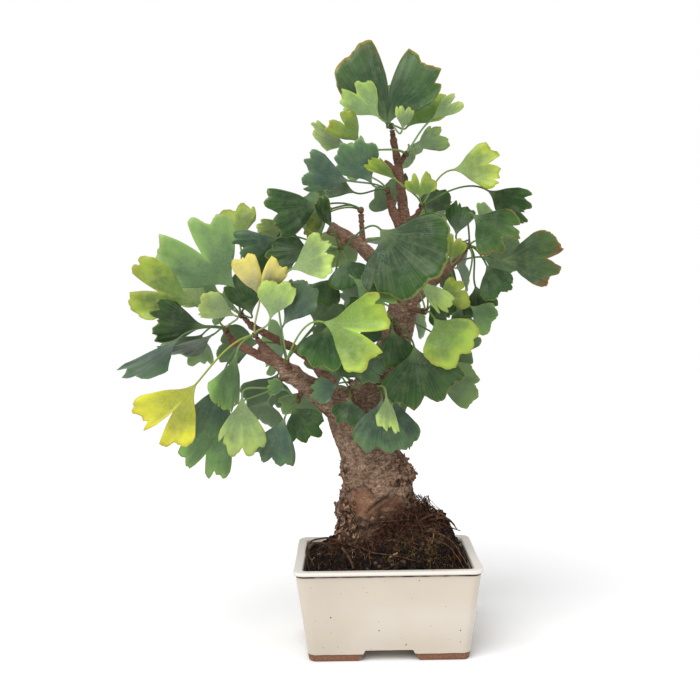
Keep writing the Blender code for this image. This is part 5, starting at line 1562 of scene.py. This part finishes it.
def fineBlade(leaf):
    # point = base + length (u midrib + v side + lift face), where (u, v) is reach at an angle across
    # the fan; reach is the margin's share with crimps, lobes and a slit, and the normals carry two skins
    midrib, side, face, length = bladeFrame(leaf)
    x = np.linspace(-1, 1, leafSpec["across"] + 1)[None]
    share = np.concatenate([[0.02, 0.06], np.linspace(0.12, 1.0, leafSpec["along"] - 1)])[:, None]
    phase = leaf["phase"]
    crimp = 0.034 * np.abs(np.sin(7.5 * x + 2.3 * phase)) ** 0.7 - 0.02 \
        + 0.016 * np.abs(np.sin(17 * x + 4.1 * phase)) ** 0.7 + 0.004 * np.sin(61 * x + phase)
    lobing = 0.045 * np.sin(2.7 * x + 1.7 * phase) + 0.036 * np.sin(5.6 * x + 2.9 * phase) \
        - 0.05 * np.abs(x) ** 4
    slit = 0.75 * math.sin(7.3 * phase)                        # where one more narrow cut runs in
    lobing = lobing - 0.16 * abs(math.cos(9.1 * phase)) * np.clip(1 - np.abs(x - slit) / 0.07, 0, None)
    reach = share * (marginShare(x, leaf) + (crimp + lobing) * share ** 3)
    spread = leaf["spread"] * leafSpec["widened"].get(leaf["colour"], 1.0)
    angle = x * spread * (0.62 + 0.38 * smoothStep(0.05, 0.62, share))     # sides curve out of the stalk
    u, v = reach * np.cos(angle), reach * np.sin(angle)
    lift = bladeLift(u, v, leaf)
    lift = lift + 0.026 * share ** 4 * np.sin(8 * x + 3.1 * phase) \
        + 0.008 * share ** 4 * np.sin(23 * x + phase)
    lift = lift + 0.12 * math.sin(5 * phase) * share ** 3 * np.abs(x) ** 3 \
        - 0.05 * share ** 3 * (phase > 3)
    lift = lift + 0.0007 * share * np.sin(64 * x)
    middle = (np.array(leaf["base"]) + (u[..., None] * np.array(midrib) + v[..., None] * np.array(side)
            + lift[..., None] * np.array(face)) * length)
    normal = unit(np.cross(np.gradient(middle, axis=0), np.gradient(middle, axis=1)))
    normal = normal * np.sign(np.einsum("ijk,k->ij", normal, np.array(face)).mean())
    half = leafSpec["bladeThick"] / 2 * (1 - 0.55 * share ** 12) + 0.55 * np.exp(-(share / 0.07) ** 2)
    rows, columns = middle.shape[:2]
    half = np.broadcast_to(half * mm, (rows, columns))[..., None]
    points = np.vstack([(middle + normal * half).reshape(-1, 3),
            (middle - normal * half).reshape(-1, 3)])
    faces = closedGrid(rows, columns)
    first = points[faces[0]]
    if np.cross(first[1] - first[0], first[2] - first[0]) @ normal[0, 0] < 0:
        faces = faces[:, ::-1]
    uv = np.stack([np.broadcast_to(x * 0.5 + 0.5, (rows, columns)),
            np.broadcast_to(share, (rows, columns))], -1).reshape(-1, 2)
    return points, faces, np.vstack([uv, uv]), np.repeat([0.0, 1.0], rows * columns)


def fineStalk(leaf):
    # a round stalk, thicker where it leaves the bud and a little where it enters the blade
    midrib, side, _, length = bladeFrame(leaf)
    inside = np.array(leaf["base"] + midrib * length * 0.035)       # the last ring sits in the blade
    path = np.vstack([stalkPath(leaf, midrib, leafSpec["stalkRings"]), inside])
    sides, rows = leafSpec["stalkSides"], len(path)
    t = np.linspace(0, 1, rows)
    radii = leafSpec["stalkRadius"] * mm * (1 + 0.75 * np.exp(-t / 0.07) + 0.12 * np.exp(-(1 - t) / 0.06))
    angles = np.arange(sides) * 2 * math.pi / sides
    rings = stalkRings(path, midrib, side, radii, angles)
    points = np.vstack([rings.reshape(-1, 3), path[:1], path[-1:]])
    uv = np.stack([np.tile(np.arange(sides) / sides, rows), np.repeat(t, sides)], -1)
    return points, stackedFaces(rows, sides), np.vstack([uv, [[0, 0], [0, 1]]])


def fineBud(centre, way):
    # a ball on the spur's axis: radius (1 + 0.09 cos(5 turn + 3 rise) + 0.06 sin(9 rise))
    rise = np.radians(np.linspace(-80, 80, 13))
    turn = np.arange(20) * 2 * math.pi / 20
    grid = 1 + 0.09 * np.cos(5 * turn[None] + 3 * rise[:, None]) + 0.06 * np.sin(9 * rise[:, None])
    side = unit(np.cross(np.array(way), (0.0, 0.6, 0.8)))
    other = np.cross(np.array(way), side)
    local = (np.outer(np.cos(rise), np.cos(turn))[..., None] * side
             + np.outer(np.cos(rise), np.sin(turn))[..., None] * other
             + np.outer(np.sin(rise), np.ones(20))[..., None] * np.array(way))
    size = leafSpec["budRadius"] * mm * 0.95
    points = np.array(centre) + (grid[..., None] * local).reshape(-1, 3) * size
    poles = np.array(centre) + np.outer([-1, 1], np.array(way)) * size
    return np.vstack([points, poles]), stackedFaces(13, 20)


def leafMaterial():
    # blade colour from its own tint: dark and pale mottling, a painted sheen in pale blue-grey patches,
    # lighter towards the margin, on fine rays and at the stalk, then yellowing, rust, a dry rim and a paler
    # underside;
    # stalks and buds have their own tints
    material, tree, shader, place = newMaterial("ginkgoLeaf", 0.42, 0.3)
    uv = addNode(tree, "UVMap", uv_map="pieceUv").outputs[0]
    across, outward, _ = addNode(tree, "SeparateXYZ", {0: uv}).outputs
    own, edge, facts = (addNode(tree, "Attribute", attribute_name=name).outputs
            for name in ("leafTint", "leafEdge", "leafFacts"))
    own, kind = own["Color"], facts["Alpha"]                       # kind: 0 blade, 0.5 stalk, 1 bud
    seed, yellowing, under = addNode(tree, "SeparateColor", {0: facts["Color"]}).outputs
    seed = times(tree, seed, 40.0)

    def rayNoise(wide, long):
        # noise drawn out along the rays from the stalk
        parts = {0: times(tree, across, wide), 1: times(tree, outward, long), 2: seed}
        return noiseOn(tree, addNode(tree, "CombineXYZ", parts).outputs[0], 1.0, 1.0)

    fineRay, wideRay = rayNoise(95.0, 1.6), rayNoise(38.0, 1.2)
    ray = plus(tree, times(tree, fineRay, 0.6), times(tree, wideRay, 0.4))
    patch, spots = mottleOn(tree, place, 55.0, 0.32, 0.68), mottleOn(tree, place, 170.0, 0.42, 0.68)
    grain = gritOn(tree, place, 700.0)
    deep, pale = mixColour(tree, 0.62, own, leafSpec["deep"]), mixColour(tree, 0.5, own, leafSpec["pale"])
    bright = mixColour(tree, 1.0, own, leafSpec["brightened"], "MULTIPLY")
    # painted sheen: pale blue-grey patches standing in for the gloss on the blades
    paintedSheen = times(tree, mottleOn(tree, place, 95.0, 0.5, 0.78),
            remap(tree, grain["Height"], 0.4, 0.62, 0.05, 0.4))
    towardsEdge = plus(tree, outward, times(tree, patch, -0.28))
    dry = remap(tree, plus(tree, outward, times(tree, spots, 0.35)), 0.62, 1.18)
    rusty = remap(tree, plus(tree, outward, times(tree, patch, 0.22)), 1.0, 1.14)
    rim = remap(tree, plus(tree, outward, times(tree, wideRay, 0.05)), 0.985, 1.015)
    body = layTints(tree, own, [
        (times(tree, patch, 0.45), deep), (times(tree, spots, 0.22), pale),
        (times(tree, grain["Grain"], 0.3), deep), (paintedSheen, mixColour(tree, 0.6, own, leafSpec["paintedSheen"])),
        (remap(tree, towardsEdge, 0.40, 1.0, 0.0, 0.75), bright),
        (remap(tree, ray, 0.44, 0.62, 0.0, 0.16), pale), (remap(tree, outward, 0.34, 0.02, 0.0, 0.6), pale),
        (times(tree, dry, yellowing), mixColour(tree, spots, *leafSpec["golds"])),
        (times(tree, rusty, edge["Alpha"]), leafSpec["rustTint"]), (times(tree, rim, 0.5), edge["Color"])])
    body = layTints(tree, body, [
        (times(tree, under, 0.8), mixColour(tree, 0.4, body, leafSpec["under"])),
        (remap(tree, kind, 0.1, 0.4), mixColour(tree, 0.45, own, leafSpec["stalk"])),
        (remap(tree, kind, 0.6, 0.9), mixColour(tree, patch, *leafSpec["bud"]))])
    shine = plus(tree, remap(tree, patch, 0, 1, 0.34, 0.5), times(tree, under, 0.15))
    relief = plus(tree, times(tree, ray, 0.6), times(tree, grain["Height"], 0.8))
    linkShader(tree, shader, body, (relief, 0.4, 0.0004), shine)
    return material


def makeBunch(spur, bunch, material, draw):
    # blades and stalks of one spur and its bud, with a tint, an edge tint and facts for each point
    solids, uvs, paint = [], [], {"leafTint": [], "leafEdge": [], "leafFacts": []}

    def keep(newPoints, newFaces, uv, *values):
        # one more solid, with its UVs and a colour for each attribute
        solids.append((newPoints, newFaces))
        uvs.append(uv)
        for parts, value in zip(paint.values(), values):
            parts.append(np.broadcast_to(value, (len(newPoints), 4)))

    for leaf in bunch:
        colour = leaf["colour"]
        change = draw.uniform(0.76, 1.24)
        tint = np.append(np.array(leafSpec["tints"][colour]) * change * draw.uniform(0.93, 1.07, 3), 1.0)
        edge = np.append(np.array(leafSpec["edges"][colour]) * draw.uniform(0.6, 1.15),
                leafSpec["rust"].get(colour, 0.0))
        yellow = leafSpec["yellowing"].get(colour, 0.0) * draw.uniform(0.7, 1.1)
        seed = draw.uniform()
        points, faces, uv, under = fineBlade(leaf)
        flat = np.zeros(len(under))
        keep(points, [faces], uv, tint, edge, np.stack([flat + seed, flat + yellow, under, flat], -1))
        keep(*fineStalk(leaf), tint, edge, np.array([seed, 0, 0, 0.5]))
    points, faces = fineBud(bunch[0]["bud"], bunch[0]["spurWay"])
    budTint = np.append(leafSpec["budBase"], 1.0)
    keep(points, faces, np.zeros((len(points), 2)), budTint, budTint, np.array([0.5, 0, 0, 1.0]))
    points, faces = joinedSolids(solids)
    piece = meshPiece("blades_" + spur, points, faces, material, np.vstack(uvs),
            {name: np.vstack(parts) for name, parts in paint.items()})
    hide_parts("leaves_" + spur)
    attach(piece, "root")


def makeLeaves():
    # all bunches, which share one material
    material = leafMaterial()
    draw = np.random.default_rng(leafSpec["seed"])
    bunches = placedLeaves()
    for spur, bunch in bunches.items():
        makeBunch(spur, bunch, material, draw)
    print("leaves made:", sum(len(bunch) for bunch in bunches.values()))


makeLeaves()


# drain screens keep their solids and get a moulded finish

screenSpec = {"plastic": (0.030, 0.030, 0.032), "dust": (0.05, 0.045, 0.04), "grain": 1200.0}


def screenMaterial():
    # near-black plastic with a faint moulded grain
    material, tree, shader, place = newMaterial("screenPlastic", 0.55)
    grit = gritOn(tree, place, screenSpec["grain"])
    body = mixColour(tree, grit["Grain"], screenSpec["plastic"], screenSpec["dust"])
    linkShader(tree, shader, body, (grit["Height"], 0.3, 0.0002))
    return material


screenFinish = screenMaterial()
for screenName in ("drain_screen_left", "drain_screen_right"):
    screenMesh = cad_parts[screenName].data
    screenMesh.materials.clear()
    screenMesh.materials.append(screenFinish)


# floor, light and camera

studioSpec = {
    "floorSide": 8.0, "floorDrop": 0.0002, "floorTints": ((0.94, 0.94, 0.94), (0.955, 0.955, 0.955)),
    "aim": (0.0, 0.0, 0.2),
    "worldStrength": 0.46, "seenWorld": 1.0, "sunStrength": 2.45, "sunAngle": 50.0,
    "sunPlace": (-0.55, -0.75, 1.35), "discSize": 0.9,
    "fillPlace": (0.9, -0.9, 0.9), "fillPower": 2.6, "backPlace": (0.5, 1.1, 1.1), "backPower": 3.5,
}


def placeLamp(name, kind, place, power, **settings):
    # a lamp that looks at the middle of the tree
    light = bpy.data.lights.new(name, kind)
    light.energy = power
    for key, value in settings.items():
        setattr(light, key, value)
    lamp = bpy.data.objects.new(name, light)
    lamp.location = place
    lamp.rotation_euler = (Vector(studioSpec["aim"]) - Vector(place)).to_track_quat("-Z", "Y").to_euler()
    bpy.context.scene.collection.objects.link(lamp)


def makeStudio():
    # pale floor, a wide soft sun, two disc lights, and a world that is seen white but lights less
    side = studioSpec["floorSide"] / 2
    corners = np.array([[-side, -side, 0], [side, -side, 0], [side, side, 0], [-side, side, 0]])
    corners = corners - np.array([0, 0, studioSpec["floorDrop"]])
    material, tree, shader, place = newMaterial("paleFloor", 0.9, 0.0)
    soft = mottleOn(tree, place, 3.0, 0.2, 0.8)
    tree.links.new(mixColour(tree, soft, *studioSpec["floorTints"]), shader.inputs["Base Color"])
    meshPiece("paleFloor", corners, [np.array([[0, 1, 2, 3]])], material)
    world = bpy.data.worlds.new("softWorld")
    bpy.context.scene.world = world
    world.use_nodes = True
    tree = world.node_tree
    background = tree.nodes["Background"]
    background.inputs["Color"].default_value = (1.0, 1.0, 1.0, 1.0)
    seen = addNode(tree, "LightPath").outputs["Is Camera Ray"]
    strength = remap(tree, seen, 0.0, 1.0, studioSpec["worldStrength"], studioSpec["seenWorld"])
    tree.links.new(strength, background.inputs["Strength"])
    placeLamp("softSun", "SUN", studioSpec["sunPlace"], studioSpec["sunStrength"],
              angle=math.radians(studioSpec["sunAngle"]))
    for name in ("fill", "back"):
        placeLamp(name + "Light", "AREA", studioSpec[name + "Place"], studioSpec[name + "Power"],
                  shape="DISK", size=studioSpec["discSize"])
    bpy.context.scene.view_settings.view_transform = "Standard"


def makeCamera():
    # the fitted camera: its lens from the focal length in pixels, nosed down and rolled
    data = bpy.data.cameras.new("photoCamera")
    data.sensor_width = viewSpec["sensor"]
    data.lens = viewSpec["sensor"] * viewSpec["focal"] / viewSpec["imageSide"]
    camera = bpy.data.objects.new("photoCamera", data)
    turn = Matrix.Rotation(math.radians(90 - viewSpec["pitch"]), 4, "X") \
        @ Matrix.Rotation(math.radians(-viewSpec["roll"]), 4, "Z")
    camera.matrix_world = Matrix.Translation(Vector(viewSpec["place"]) * mm + potMiddle) @ turn
    bpy.context.scene.collection.objects.link(camera)
    bpy.context.scene.camera = camera


makeStudio()
makeCamera()
bpy.data.materials.remove(bareMaterial)
print("studio made")
